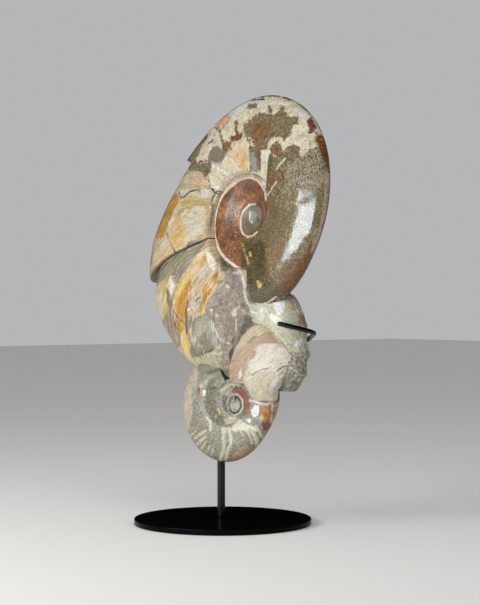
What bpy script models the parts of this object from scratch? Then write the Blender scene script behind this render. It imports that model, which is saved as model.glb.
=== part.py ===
"""Two broken ammonites held in rock, on a round base with a rod and one clasping arm.

Sizes are in millimetres and degrees, and the objects come out in metres with +Z up.
The base's underside is at z = 0 and its centre is at the origin; the fossil faces -Y.
"""

import math

import bmesh
import bpy
import numpy as np

MM = 0.001
GAP = 0.4

# Each fossil lies in a plane of its own: centre, turn about Z and lean back.
LARGE_PLANE = ((45.5, 12.0, 311.3), 0.0, 10.2)
LUMP_PLANE = ((74.0, -8.0, 175.0), 18.0, 8.0)
SMALL_PLANE = ((42.3, -15.0, 123.4), 12.5, 10.2)

# The large shell: radius of the inner seam and of the outer edge, by angle from the plane's x.
LARGE_TURN_GROWTH = 2.2
LARGE_SEAM = ((-95, 25.6), (-35, 23.8), (25, 26.5), (85, 37.0), (145, 50.7), (205, 53.5))
LARGE_RIM = (
    (-82, 95.0), (-74, 99.0), (-60, 99.5), (-20, 95.5), (20, 101.0), (60, 114.0), (100, 127.0),
    (140, 137.5), (153, 144.0),
)
LARGE_HALF_DEPTH = 0.175
LARGE_SPAN = (-79.5, 153.0)
# How far the break at the end of the inner part wanders, by radius, and how wide it is.
CRACK_WANDER = ((50, 0.0), (64, 2.5), (86, -3.5), (118, -2.0), (144, 0.5))
CRACK = 1.1

UPPER_RIM = ((153, 136.5), (165, 144.5), (178, 158.5), (190, 172.0), (202, 178.0), (206, 179.0))
LOWER_RIM = ((200, 171.0), (215, 175.0), (230, 171.5), (245, 169.3), (255, 164.5), (262, 161.0), (269, 154.0))
BODY_HALF_DEPTH = 0.16
STEP_EDGE = ((0.0, 206.0), (0.3, 203.5), (0.6, 201.5), (1.0, 202.0))
LOWER_EDGE = ((0.0, 275.0), (0.35, 274.0), (0.7, 268.0), (1.0, 267.0))
# Where the lower piece's shell has broken away from the rock inside it, by share of height.
SHELL_EDGE = ((0.0, 229.0), (0.1, 241.0), (0.2, 247.0), (0.45, 243.0), (0.7, 244.0), (0.9, 249.0))

# The small shell turns the other way, so its angles run clockwise.
SMALL_TURN_GROWTH = 2.1
SMALL_SEAM = ((-120, 12.0), (-60, 11.2), (0, 11.8), (60, 13.4), (120, 16.5), (180, 20.6))
SMALL_RIM = (
    (-105, 37.0), (-60, 42.0), (-20, 52.0), (0, 50.5), (30, 48.0), (60, 51.5),
    (90, 57.0), (120, 61.0), (150, 65.0), (190, 69.0), (210, 69.0), (222, 62.0), (240, 48.0),
)
SMALL_HALF_DEPTH = 0.22
SMALL_SPAN = (-96.0, 240.0)

# Outlines in the lump's plane.
ROCK_OUTLINE = (
    (49, -1), (46, 6), (43, 14), (44, 28), (38, 40), (33, 50), (22, 62), (2, 70),
    (-7, 82), (-17, 87), (-27, 80), (-42, 60), (-54, 42), (-57, 16), (-54, -6), (-48, -22), (-32, -30),
    (-8, -33), (12, -36), (27, -37), (35, -36), (43, -25), (47, -20), (45, -8),
)
PIECE_OUTLINE = (
    (38, -7), (27, 8), (14, 22), (6, 25), (-4, 26), (-13, 18), (-20, 8), (-26, -4),
    (-29, -15), (-28, -28), (-11, -31), (-5, -39), (0, -47), (10, -47), (19, -46),
    (21, -35), (28, -25), (33, -16),
)

BASE_RADIUS = 90.0
BASE_HEIGHT = 6.0
POST_RADIUS = 4.0
POST_AT = (-1.0, -1.2)
POST_TOP = 146.0
ARM_RADIUS = 2.3
# The clasping arm goes behind the rock and round its right side; the rest stays behind.
CLASP = ((2.75, 2.6, 143), (34, 30, 160), (98, 33, 190), (120, 20, 195), (122, 1, 199), (105, -12.5, 204))
REST = ((-5.4, 1.75, 141), (-22, 10, 150), (-38, 17, 170))


def clear_scene():
    for thing in list(bpy.data.objects):
        bpy.data.objects.remove(thing)


def collection(name, helper=False):
    made = bpy.data.collections.new(name)
    bpy.context.scene.collection.children.link(made)
    made.hide_render = helper
    return made


def material(name, colour, roughness, metallic=0.0):
    made = bpy.data.materials.new(name)
    made.use_nodes = True
    shader = made.node_tree.nodes["Principled BSDF"]
    shader.inputs["Base Color"].default_value = (*colour, 1.0)
    shader.inputs["Roughness"].default_value = roughness
    shader.inputs["Metallic"].default_value = metallic
    made.diffuse_color = (*colour, 1.0)
    return made


def smooth(knots, at):
    """A smooth curve through (position, value) knots, flat beyond both ends."""
    x = np.array([knot[0] for knot in knots], float)
    y = np.array([knot[1] for knot in knots], float)
    x = np.concatenate([[2 * x[0] - x[1]], x, [2 * x[-1] - x[-2]]])
    y = np.concatenate([[2 * y[0] - y[1]], y, [2 * y[-1] - y[-2]]])
    t = np.clip(np.asarray(at, float), x[1], x[-2])
    i = np.clip(np.searchsorted(x, t, side="right") - 1, 1, len(x) - 3)
    width = x[i + 1] - x[i]
    s = (t - x[i]) / width
    rise = (y[i + 1] - y[i - 1]) / (x[i + 1] - x[i - 1])
    fall = (y[i + 2] - y[i]) / (x[i + 2] - x[i])
    return (
        (2 * s**3 - 3 * s**2 + 1) * y[i]
        + (s**3 - 2 * s**2 + s) * width * rise
        + (3 * s**2 - 2 * s**3) * y[i + 1]
        + (s**3 - s**2) * width * fall
    )


def spiral(knots, growth, angle):
    """A radius that grows by the same factor each turn, through one turn's knots."""
    rate = math.log(growth) / 360.0
    base = [(a, math.log(r) - rate * a) for a, r in knots]
    around = [(a + turn * 360, v) for turn in (-1, 0, 1) for a, v in base]
    angle = np.asarray(angle, float)
    within = (angle - base[0][0]) % 360.0 + base[0][0]
    return np.exp(smooth(around, within) + rate * angle)


def flank(share):
    """Half thickness of a whorl, from its seam to its outer edge, as a share of the most."""
    share = np.asarray(share, float)
    far = np.clip((share - 0.3) / 0.7, 0, 1)
    return np.sqrt(np.clip(1 - far**2.2, 0, 1)) * (0.8 + 0.2 * ease(share / 0.35))


def ease(value):
    value = np.clip(value, 0, 1)
    return value * value * (3 - 2 * value)


def to_space(plane, x, y, h):
    """Points of a leaning plane, h out towards its front."""
    centre, turn, lean = plane
    turn = math.radians(turn)
    lean = math.radians(lean)
    across = np.array([math.cos(turn), math.sin(turn), 0.0])
    front = np.array([math.sin(turn), -math.cos(turn), 0.0])
    out = front * math.cos(lean) + np.array([0.0, 0.0, math.sin(lean)])
    up = np.cross(out, across)
    return np.array(centre) + np.outer(x, across) + np.outer(y, up) + np.outer(h, out)


def triangles(faces):
    """Each face split the same way wherever it is used, so that a cutter fits its solid."""
    return [(face[0], b, c) for face in faces for b, c in zip(face[1:-1], face[2:])]


def thicken(plane, x, y, front, back, faces):
    """A closed solid between two height fields over one sheet of faces, walled at its edge."""
    count = len(x)
    points = np.vstack([to_space(plane, x, y, front), to_space(plane, x, y, back)])
    edges = set()
    for face in faces:
        for a, b in zip(face, face[1:] + face[:1]):
            edges.add((a, b))
    walls = [(b, a, a + count, b + count) for a, b in sorted(edges) if (b, a) not in edges]
    faces = triangles(faces)
    behind = [tuple(v + count for v in reversed(face)) for face in faces]
    return points, faces + behind + triangles(walls)


def solid(name, shape, into, look=None):
    points, faces = shape
    mesh = bpy.data.meshes.new(name)
    mesh.from_pydata((np.asarray(points) * MM).tolist(), [], [list(f) for f in faces])
    mesh.update()
    made = bpy.data.objects.new(name, mesh)
    into.objects.link(made)
    if look:
        mesh.materials.append(look)
        mesh.shade_smooth()
        mesh.set_sharp_from_angle(angle=math.radians(35))
    else:
        made.display_type = "WIRE"
        made.hide_render = True
    return made


def cut(target, cutter):
    step = target.modifiers.new("cut_" + cutter.name, "BOOLEAN")
    step.operation = "DIFFERENCE"
    step.solver = "EXACT"
    step.object = cutter


def coil(plane, seam, growth, rim, span, depth, turns, step, hand=1, wander=None, grow=0.0):
    """A coiled shell: inner whorls and the last one, as one sheet that follows the spiral."""
    per_turn = round(360 / step)
    last = round((span[1] - span[0]) / step)
    columns = turns * per_turn + last
    first_rim = columns - last
    inner = (0.0, 0.08, 0.28, 0.52, 0.76, 1.0)
    outer = tuple(math.sin(q * math.pi / 2) for q in (0.24, 0.48, 0.7, 0.87, 1.0))
    ends = spiral(seam, growth, span[0])
    rim_per_seam = rim[0][1] / ends

    def rim_at(angle):
        inside = spiral(seam, growth, angle) * rim_per_seam
        return np.where(angle >= span[0] - 1e-6, smooth(rim, angle), inside)

    def level(angle, share):
        return depth * rim_at(angle) * flank(share)

    x, y, h, index = [], [], [], {}
    for i in reversed(range(columns + 1)):
        angle = span[1] - (columns - i) * step
        low = spiral(seam, growth, angle)
        high = rim_at(angle) + grow
        follow = low * growth
        under = (low - low / growth) / (rim_at(angle - 360) - low / growth)
        seam_level = level(angle - 360, under)
        radii = [low + f * (follow - low) for f in inner]
        if i >= first_rim:
            radii += [follow + q * (high - follow) for q in outer]
        elif i + per_turn > columns:
            radii[-1] += grow
        for j, radius in enumerate(radii):
            if j == len(inner) - 1 and (i + per_turn, 0) in index:
                index[i, j] = index[i + per_turn, 0]
                continue
            share = (radius - low) / (high - low)
            lift = min(inner[j] / 0.08, 1.0) if j < len(inner) else 1.0
            height = seam_level + (level(angle, share) - seam_level) * lift
            turned = angle
            if wander is not None and i >= first_rim:
                near = np.clip((angle - span[1] + 30) / 30, 0, 1) ** 2
                turned = angle + near * float(smooth(wander, radius))
            if j and i == columns:
                turned += math.degrees(grow / radius)
            if j >= len(inner) and i == first_rim:
                turned -= math.degrees(grow / radius)
            around = math.radians(turned) * hand
            px = radius * math.cos(around)
            py = radius * math.sin(around)
            height = max(float(height), 0.6) + 1.3 * grow
            index[i, j] = len(x)
            x.append(px)
            y.append(py)
            h.append(height)
    faces = []
    for i in range(columns):
        rows = len(inner) - 1 + (len(outer) if i >= first_rim else 0)
        for j in range(rows):
            faces.append((index[i, j], index[i, j + 1], index[i + 1, j + 1], index[i + 1, j]))
    eye = [index[i, 0] for i in range(per_turn + 1)]
    eye += [index[0, j] for j in range(len(inner) - 2, 0, -1)]
    start = span[1] - columns * step
    middle = 0.3 * float(spiral(seam, growth, start))
    x.append(middle * math.cos(math.radians(start - 90) * hand))
    y.append(middle * math.sin(math.radians(start - 90) * hand))
    h.append(float(np.mean([h[v] for v in eye])))
    faces += [(a, b, len(x) - 1) for a, b in zip(eye, eye[1:] + eye[:1])]
    if hand < 0:
        faces = [tuple(reversed(face)) for face in faces]
    h = np.array(h)
    return thicken(plane, np.array(x), np.array(y), h, -h, faces)


def turn_out(face, x, y):
    """The face wound anticlockwise as seen from the front."""
    area = 0.0
    for a, b in zip(face, face[1:] + face[:1]):
        area += x[a] * y[b] - x[b] * y[a]
    return face if area > 0 else tuple(reversed(face))


def body_piece(rim, start, stop, columns, height_at, back_at, grow=0.0):
    """A length of the large shell's outer whorl, between two edges given by share of height."""
    shares = (0.0, 0.035, 0.1, 0.2, 0.32, 0.45, 0.58, 0.7, 0.8, 0.89, 0.96, 1.0)
    x, y, front, back = [], [], [], []
    for i in range(columns + 1):
        t = i / columns
        for share in shares:
            radius = 52.0 + share * 90.0
            angle = float(start(share, radius) * (1 - t) + stop(share) * t)
            low = float(spiral(LARGE_SEAM, LARGE_TURN_GROWTH, angle)) + GAP - grow
            radius = low + share * (float(smooth(rim, angle)) + grow - low)
            angle = float(start(share, radius) * (1 - t) + stop(share) * t)
            front.append(max(height_at(angle, share, radius), 0.6) + 1.3 * grow)
            back.append(-max(back_at(angle, share, radius), 0.6) - 1.3 * grow)
            angle += math.degrees(grow / radius) * ((i == columns) - (i == 0))
            x.append(radius * math.cos(math.radians(angle)))
            y.append(radius * math.sin(math.radians(angle)))
    wide = len(shares)
    faces = []
    for i in range(columns):
        for j in range(wide - 1):
            a = i * wide + j
            faces.append(turn_out((a, a + 1, a + wide + 1, a + wide), x, y))
    return thicken(LARGE_PLANE, np.array(x), np.array(y), np.array(front), np.array(back), faces)


def whorl_level(rim, angle, share):
    wall = 0.6 + 0.4 * min(share / 0.035, 1.0)
    return BODY_HALF_DEPTH * float(smooth(rim, angle)) * float(flank(share)) * wall


def upper_front(angle, share, radius):
    return whorl_level(UPPER_RIM, angle, share)


def lip_fall(angle, share):
    """How the lip of the lower piece rounds down to its end."""
    lip = max(0.0, (angle - 259) / 9) * float(ease((share - 0.6) / 0.2))
    return math.sqrt(max(1 - 0.75 * lip * lip, 0.05))


def lower_front(angle, share, radius):
    """The lower piece: sunk where it meets the step, broken open inside, rounded at its lip."""
    level = whorl_level(LOWER_RIM, angle, share)
    sunk = 7.0 * (1 - float(ease((angle - 202) / 13))) * (0.35 + 0.65 * share)
    edge = float(smooth(SHELL_EDGE, share))
    inside = 1 - float(ease((share - 0.78) / 0.08))
    broken = float(ease((angle - edge) / 3)) * inside
    hollow = float(ease((angle - edge) / 26)) * inside
    rough = 0.8 * math.sin(angle * 0.6) * math.sin(radius * 0.2 + 1.0)
    floor = level - 3.0 + rough
    floor = floor * (1 - hollow) + (9.0 + 2.0 * share + rough) * hollow
    level = (level - sunk) * (1 - broken) + floor * broken
    return level * lip_fall(angle, share)


def lower_back(angle, share, radius):
    return whorl_level(LOWER_RIM, angle, share) * lip_fall(angle, share)


def patch(outline, columns, rings, grow=0.0):
    """A sheet of rings inside a closed outline, with each point's share of the way out."""
    corners = np.array(outline, float)
    middle = corners.mean(axis=0)
    away = corners - middle
    angles = np.unwrap(np.arctan2(away[:, 1], away[:, 0]))
    radii = np.hypot(away[:, 0], away[:, 1])
    x, y, share = [middle[0]], [middle[1]], [0.0]
    for ring in rings:
        for i in range(columns):
            angle = angles[0] + 2 * math.pi * i / columns
            radius = np.interp(angle, np.append(angles, angles[0] + 2 * math.pi),
                               np.append(radii, radii[0])) + grow
            x.append(middle[0] + ring * radius * math.cos(angle))
            y.append(middle[1] + ring * radius * math.sin(angle))
            share.append(ring)
    faces = [(0, 1 + i, 1 + (i + 1) % columns) for i in range(columns)]
    for k in range(len(rings) - 1):
        for i in range(columns):
            a = 1 + k * columns + i
            b = 1 + k * columns + (i + 1) % columns
            faces.append((a, a + columns, b + columns, b))
    return np.array(x), np.array(y), np.array(share), faces


def bump(x, y, at, size, height):
    return height * np.exp(-(((x - at[0]) / size[0]) ** 2) - ((y - at[1]) / size[1]) ** 2)


def rock_front(x, y, share):
    """The rock between the shells: a polished lobe on the right and a rough hollow on the left."""
    level = 3.0 + bump(x, y, (22, 34), (30, 26), 12.0)
    level += bump(x, y, (-26, 40), (20, 22), 7.0)
    level += bump(x, y, (38, -18), (16, 16), 6.0)
    level -= bump(x, y, (-38, -6), (12, 24), 5.0)
    level += 1.3 * np.sin(x * 0.31 + 0.4 * y) * np.sin(y * 0.27 - 0.2 * x)
    return -8.0 + (level + 8.0) * np.sqrt(np.clip(1 - share**5, 0.12, 1))


def rock_back(x, y, share):
    level = 24.0 - 5.0 * ((x - 5) / 55) ** 2
    level += 2.0 * np.sin(x * 0.17 + 1.0) * np.sin(y * 0.15)
    return -(8.0 + (level - 8.0) * np.sqrt(np.clip(1 - share**4, 0.01, 1)))


def piece_front(x, y, share):
    """The loose piece of shell: a low fan that swells towards its upper left."""
    level = 19.5 - 0.0055 * (x + 8) ** 2 - 0.003 * (y + 6) ** 2
    level += 0.5 * np.sin(np.hypot(x - 70, y + 70) * 0.42)
    return level - 4.0 * share**6


def turned(name, radius, low, high, at, sides, edge, into, look):
    """An upright cylinder from one height to another, its rims rounded off."""
    mesh = bpy.data.meshes.new(name)
    form = bmesh.new()
    bmesh.ops.create_cone(
        form, cap_ends=True, segments=sides, radius1=radius * MM, radius2=radius * MM,
        depth=(high - low) * MM)
    form.to_mesh(mesh)
    form.free()
    made = bpy.data.objects.new(name, mesh)
    made.location = (at[0] * MM, at[1] * MM, (low + high) / 2 * MM)
    into.objects.link(made)
    mesh.materials.append(look)
    mesh.shade_smooth()
    mesh.set_sharp_from_angle(angle=math.radians(40))
    rim = made.modifiers.new("rim", "BEVEL")
    rim.width = edge * MM
    rim.segments = 2
    rim.limit_method = "ANGLE"
    return made


def rod(name, path, radius, into, look):
    """A round rod along a path, flat where it is brazed on and domed at its free end."""
    ahead = path[-1] - path[-2]
    ahead = ahead / np.linalg.norm(ahead)
    stations = [(point, 1.0) for point in path]
    for tilt in (30, 55, 75):
        lean = math.radians(tilt)
        stations.append((path[-1] + ahead * radius * math.sin(lean), math.cos(lean)))
    curve = bpy.data.curves.new(name, "CURVE")
    curve.dimensions = "3D"
    curve.bevel_depth = radius * MM
    curve.bevel_resolution = 2
    curve.use_fill_caps = True
    spline = curve.splines.new("POLY")
    spline.points.add(len(stations) - 1)
    for knot, (point, size) in zip(spline.points, stations):
        knot.co = (*(point * MM), 1.0)
        knot.radius = size
    spline.use_smooth = True
    made = bpy.data.objects.new(name, curve)
    into.objects.link(made)
    curve.materials.append(look)
    return made


def rounded(corners, radius, steps=3):
    """A path through corners, each turned with an arc-like bend."""
    corners = [np.array(c, float) for c in corners]
    path = [corners[0]]
    for before, here, after in zip(corners, corners[1:], corners[2:]):
        a = here + (before - here) / np.linalg.norm(before - here) * radius
        b = here + (after - here) / np.linalg.norm(after - here) * radius
        for k in range(steps + 1):
            t = k / steps
            path.append((1 - t) ** 2 * a + 2 * t * (1 - t) * here + t * t * b)
    path.append(corners[-1])
    return path


def main():
    clear_scene()
    fossil = collection("ammonite_cluster")
    helpers = collection("cutters", helper=True)

    def disc(grow=0.0):
        return coil(LARGE_PLANE, LARGE_SEAM, LARGE_TURN_GROWTH, LARGE_RIM, LARGE_SPAN,
                    LARGE_HALF_DEPTH, turns=2, step=7.5, wander=CRACK_WANDER, grow=grow)

    def upper():
        return body_piece(
            UPPER_RIM,
            lambda share, radius: LARGE_SPAN[1] + smooth(CRACK_WANDER, radius)
            + math.degrees(CRACK / radius),
            lambda share: smooth(STEP_EDGE, share), 11, upper_front, upper_front)

    def lower(grow=0.0):
        return body_piece(
            LOWER_RIM,
            lambda share, radius: smooth(STEP_EDGE, share) + math.degrees(CRACK / radius),
            lambda share: smooth(LOWER_EDGE, share), 16, lower_front, lower_back, grow)

    def small(grow=0.0):
        return coil(SMALL_PLANE, SMALL_SEAM, SMALL_TURN_GROWTH, SMALL_RIM, SMALL_SPAN,
                    SMALL_HALF_DEPTH, turns=1, step=12.0, hand=-1, grow=grow)

    def rock():
        x, y, share, faces = patch(ROCK_OUTLINE, 48, (0.24, 0.46, 0.66, 0.83, 0.95, 1.0))
        return thicken(LUMP_PLANE, x, y, rock_front(x, y, share), rock_back(x, y, share), faces)

    def piece(grow=0.0):
        x, y, share, faces = patch(PIECE_OUTLINE, 36, (0.35, 0.65, 0.88, 1.0), grow)
        front = piece_front(x, y, share)
        return thicken(LUMP_PLANE, x, y, front + grow, front - 9.0 - grow, faces)

    disc_node = solid("inner_whorls", disc(), fossil, material("polished_shell", (0.42, 0.38, 0.27), 0.15))
    upper_node = solid("body_whorl_upper", upper(), fossil, material("pale_shell", (0.62, 0.52, 0.33), 0.2))
    lower_node = solid("body_whorl_lower", lower(), fossil, material("streaked_shell", (0.58, 0.44, 0.24), 0.25))
    small_node = solid("small_ammonite", small(), fossil, material("green_calcite", (0.36, 0.35, 0.28), 0.2))
    rock_node = solid("matrix_rock", rock(), fossil, material("grey_rock", (0.34, 0.31, 0.27), 0.55))
    piece_node = solid("shell_piece", piece(), fossil, material("cream_shell", (0.62, 0.5, 0.38), 0.45))

    for name, shape, targets in (
        ("round_inner", disc, (rock_node,)),
        ("round_lower", lower, (rock_node, small_node)),
        ("round_small", small, (rock_node,)),
        ("round_piece", piece, (rock_node, small_node)),
    ):
        cutter = solid(name, shape(GAP), helpers)
        for target in targets:
            cut(target, cutter)

    def black(name):
        return material(name, (0.012, 0.012, 0.013), 0.12)

    turned("stand_base", BASE_RADIUS, 0.0, BASE_HEIGHT, (0.0, 0.0), 60, 1.0, fossil,
           black("base_black"))
    turned("stand_post", POST_RADIUS, BASE_HEIGHT + GAP, POST_TOP, POST_AT, 20, 0.8, fossil,
           black("post_black"))
    rod("stand_clasp", rounded(CLASP, 9.0), ARM_RADIUS, fossil, black("clasp_black"))
    rod("stand_rest", rounded(REST, 6.0), ARM_RADIUS, fossil, black("rest_black"))


main()
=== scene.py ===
"""Two ammonites held in rock on a round black stand: the finished surfaces.

Sizes are in millimetres and degrees unless a name says otherwise. The outlines of the markings
are given in pixels of a 480 by 605 picture taken by the camera set below.
"""

import math

import bmesh
import bpy
import numpy as np
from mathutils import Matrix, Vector, noise

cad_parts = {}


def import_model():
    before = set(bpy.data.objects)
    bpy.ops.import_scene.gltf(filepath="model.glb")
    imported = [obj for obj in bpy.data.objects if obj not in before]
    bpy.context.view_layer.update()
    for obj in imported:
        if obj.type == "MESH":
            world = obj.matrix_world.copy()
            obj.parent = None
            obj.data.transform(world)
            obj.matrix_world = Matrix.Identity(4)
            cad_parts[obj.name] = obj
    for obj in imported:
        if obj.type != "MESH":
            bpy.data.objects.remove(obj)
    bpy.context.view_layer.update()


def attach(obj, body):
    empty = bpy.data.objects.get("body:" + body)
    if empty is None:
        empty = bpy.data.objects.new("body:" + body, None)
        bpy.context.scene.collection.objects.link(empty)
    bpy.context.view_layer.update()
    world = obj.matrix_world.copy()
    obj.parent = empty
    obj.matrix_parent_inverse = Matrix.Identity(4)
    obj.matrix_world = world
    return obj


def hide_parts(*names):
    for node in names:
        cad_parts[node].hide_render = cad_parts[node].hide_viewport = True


MM = 0.001

# The camera: how far round from the front, its distance, height and step to its right.
CAMERA_TURN = 51.5
CAMERA_DISTANCE = 1650.0
CAMERA_HEIGHT = 224.5
CAMERA_ASIDE = 17.5
PICTURE = (480.0, 605.0)
FOCAL_PIXELS = 1622.6
SENSOR = 36.0

# Leaning planes: the centre, the turn from the front and the lean backwards.
LARGE_PLANE = ((45.5, 12.0, 311.3), 0.0, 10.2)
LUMP_PLANE = ((74.0, -8.0, 175.0), 18.0, 8.0)
SMALL_PLANE = ((42.3, -15.0, 123.4), 12.5, 10.2)

# The large shell. A seam or a rim is (degrees along the spiral, radius), an edge is (share of the
# whorl's height, degrees), and a half depth is a share of the rim's radius. The crack that ends
# the inner whorls wanders as (radius, degrees), and CRACK is its width.
LARGE_TURN_GROWTH = 2.2
LARGE_SEAM = ((-95, 25.6), (-35, 23.8), (25, 26.5), (85, 37.0), (145, 50.7), (205, 53.5))
LARGE_RIM = (
    (-82, 95.0), (-74, 99.0), (-60, 99.5), (-20, 95.5), (20, 101.0), (60, 114.0), (100, 127.0),
    (140, 137.5), (153, 144.0),
)
LARGE_HALF_DEPTH = 0.175
LARGE_SPAN = (-79.5, 153.0)
CRACK_WANDER = ((50, 0.0), (64, 2.5), (86, -3.5), (118, -2.0), (144, 0.5))
CRACK = 1.1
UPPER_RIM = ((153, 136.5), (165, 144.5), (178, 158.5), (190, 172.0), (202, 178.0), (206, 179.0))
LOWER_RIM = (
    (200, 171.0), (215, 175.0), (230, 171.5), (245, 169.3), (255, 164.5), (262, 161.0), (269, 154.0),
)
BODY_HALF_DEPTH = 0.16
STEP_EDGE = ((0.0, 206.0), (0.3, 203.5), (0.6, 201.5), (1.0, 202.0))
LOWER_EDGE = ((0.0, 275.0), (0.35, 274.0), (0.7, 268.0), (1.0, 267.0))
SHELL_EDGE = ((0.0, 229.0), (0.1, 241.0), (0.2, 247.0), (0.45, 243.0), (0.7, 244.0), (0.9, 249.0))

# The lower piece is sunk by STEP_DROP at the step. From STEP_ANGLE on it rises, and after STEP_RUN
# degrees it is level with the upper piece. Its outer corner falls away from LIP_ANGLE on.
STEP_DROP = 4.5
STEP_ANGLE = 202
STEP_RUN = 13
LIP_ANGLE = 259

# The small shell, in the same terms.

SMALL_TURN_GROWTH = 2.1
SMALL_SEAM = ((-120, 12.0), (-60, 11.2), (0, 11.8), (60, 13.4), (120, 16.5), (180, 20.6))
SMALL_RIM = (
    (-105, 37.0), (-60, 42.0), (-20, 52.0), (0, 50.5), (30, 48.0), (60, 51.5),
    (90, 57.0), (120, 61.0), (150, 65.0), (190, 69.0), (210, 69.0), (222, 62.0), (240, 48.0),
)
SMALL_HALF_DEPTH = 0.22
SMALL_SPAN = (-96.0, 240.0)

# Outlines in the plane of the lump.
ROCK_OUTLINE = (
    (49, -1), (46, 6), (43, 14), (44, 28), (38, 40), (33, 50), (22, 62), (2, 70),
    (-7, 82), (-17, 87), (-27, 80), (-42, 60), (-54, 42), (-57, 16), (-54, -6), (-48, -22), (-32, -30),
    (-8, -33), (12, -36), (27, -37), (35, -36), (43, -25), (47, -20), (45, -8),
)
# The rock's swellings and its hollow: the place, the reach both ways and the height.
ROCK_SWELLINGS = (
    ((22, 34), (30, 26), 12.0), ((-26, 40), (20, 22), 7.0), ((38, -18), (16, 16), 6.0),
    ((-38, -6), (12, 24), -5.0),
)
PIECE_OUTLINE = (
    (38, -7), (27, 8), (14, 22), (6, 25), (-4, 26), (-13, 18), (-20, 8), (-26, -4),
    (-29, -15), (-28, -28), (-11, -31), (-5, -39), (0, -47), (10, -47), (19, -46),
    (21, -35), (28, -25), (33, -16),
)
PIECE_THICK = 8.5
# The growth lines of the loose piece are rings about this place.
FAN_CENTRE = (70, -70)

BASE_RADIUS = 90.0
BASE_HEIGHT = 6.0
POST_RADIUS = 4.0
POST_AT = (-1.0, -1.2)
POST_TOP = 146.0
# The paths of the two arms, from the post to the free end.
ARM_RADIUS = 2.3
CLASP = ((2.75, 2.6, 143), (34, 30, 160), (98, 33, 190), (120, 20, 195), (122, 1, 199), (105, -12.5, 204))
REST = ((-5.4, 1.75, 141), (-22, 10, 150), (-38, 17, 170))

# The finished surfaces stay this far inside the solids' outer edges, and this thick on each side,
# with this gap where two pieces meet.
INSIDE = 0.3
THINNEST = 0.6
JOINT_GAP = 0.4
# How many pixels of border noise one unit of raggedness spans.
RAGGED_PIXELS = 5.5

LAMP_TARGET = (45.0, 0.0, 260.0)
FLOOR_REACH = 6000.0
SKY_STRENGTH = 0.62


def smooth(knots, at):
    """A smooth curve through (position, value) knots, flat beyond both ends."""
    x = np.array([knot[0] for knot in knots], float)
    y = np.array([knot[1] for knot in knots], float)
    x = np.concatenate([[2 * x[0] - x[1]], x, [2 * x[-1] - x[-2]]])
    y = np.concatenate([[2 * y[0] - y[1]], y, [2 * y[-1] - y[-2]]])
    t = np.clip(np.asarray(at, float), x[1], x[-2])
    i = np.clip(np.searchsorted(x, t, side="right") - 1, 1, len(x) - 3)
    width = x[i + 1] - x[i]
    s = (t - x[i]) / width
    rise = (y[i + 1] - y[i - 1]) / (x[i + 1] - x[i - 1])
    fall = (y[i + 2] - y[i]) / (x[i + 2] - x[i])
    return (
        (2 * s**3 - 3 * s**2 + 1) * y[i]
        + (s**3 - 2 * s**2 + s) * width * rise
        + (3 * s**2 - 2 * s**3) * y[i + 1]
        + (s**3 - s**2) * width * fall
    )


def ease(value):
    """A smooth rise from 0 to 1 while the value goes from 0 to 1."""
    value = np.clip(value, 0, 1)
    return value * value * (3 - 2 * value)


def spiral(knots, growth, angle):
    """A radius that grows by the same factor each turn, through one turn's knots."""
    rate = math.log(growth) / 360.0
    base = [(a, math.log(r) - rate * a) for a, r in knots]
    around = [(a + turn * 360, v) for turn in (-1, 0, 1) for a, v in base]
    angle = np.asarray(angle, float)
    within = (angle - base[0][0]) % 360.0 + base[0][0]
    return np.exp(smooth(around, within) + rate * angle)


def flank(share):
    """Half thickness of a whorl, from its seam to its outer edge, as a share of the most."""
    widest = 0.3
    share = np.asarray(share, float)
    far = np.clip((share - widest) / (1 - widest), 0, 1)
    return np.sqrt(np.clip(1 - far**2.2, 0, 1)) * (0.8 + 0.2 * ease(share / 0.35))


def to_space(plane, x, y, h):
    """Points of a leaning plane, h out towards its front."""
    centre, turn, lean = plane
    turn = math.radians(turn)
    lean = math.radians(lean)
    across = np.array([math.cos(turn), math.sin(turn), 0.0])
    front = np.array([math.sin(turn), -math.cos(turn), 0.0])
    out = front * math.cos(lean) + np.array([0.0, 0.0, math.sin(lean)])
    up = np.cross(out, across)
    return np.array(centre) + np.outer(x, across) + np.outer(y, up) + np.outer(h, out)


def rough(points, size, octaves, seed):
    """Soft random relief between about -1 and 1, the same on every run."""
    shift = Vector((seed * 17.3, seed * 5.1, -seed * 9.7))
    return np.array([noise.fractal(Vector(p) / size + shift, 1.0, 2.0, octaves) for p in points])


def crag(points, size, seed):
    """Relief of flat-sided chips: the distance between the two nearest of some scattered points."""
    shift = Vector((seed * 11.7, -seed * 7.9, seed * 4.3))
    made = []
    for p in points:
        near = noise.voronoi(Vector(p) / size + shift)[0]
        made.append(near[1] - near[0])
    return np.array(made)


def camera_frame():
    """The camera's place, the direction to its right and the one in which it looks."""
    turn = math.radians(CAMERA_TURN)
    right = np.array([math.cos(turn), math.sin(turn), 0.0])
    ahead = np.array([-math.sin(turn), math.cos(turn), 0.0])
    place = -CAMERA_DISTANCE * ahead + CAMERA_ASIDE * right + np.array([0.0, 0.0, CAMERA_HEIGHT])
    return place, right, ahead


def seen(points):
    """Where points fall in the camera's picture, in its pixels."""
    place, right, ahead = camera_frame()
    from_camera = np.asarray(points) - place
    depth = from_camera @ ahead
    u = PICTURE[0] / 2 + FOCAL_PIXELS * (from_camera @ right) / depth
    v = PICTURE[1] / 2 - FOCAL_PIXELS * from_camera[:, 2] / depth
    return np.stack([u, v], axis=1)


def to_line(at, line):
    """Distance from each point of the picture to a line of several corners."""
    best = np.full(len(at), 1e9)
    for a, b in zip(line, line[1:]):
        a = np.array(a, float)
        along = np.array(b, float) - a
        t = np.clip(((at - a) @ along) / max(along @ along, 1e-9), 0, 1)
        best = np.minimum(best, np.hypot(*(at - a - t[:, None] * along).T))
    return best


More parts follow.
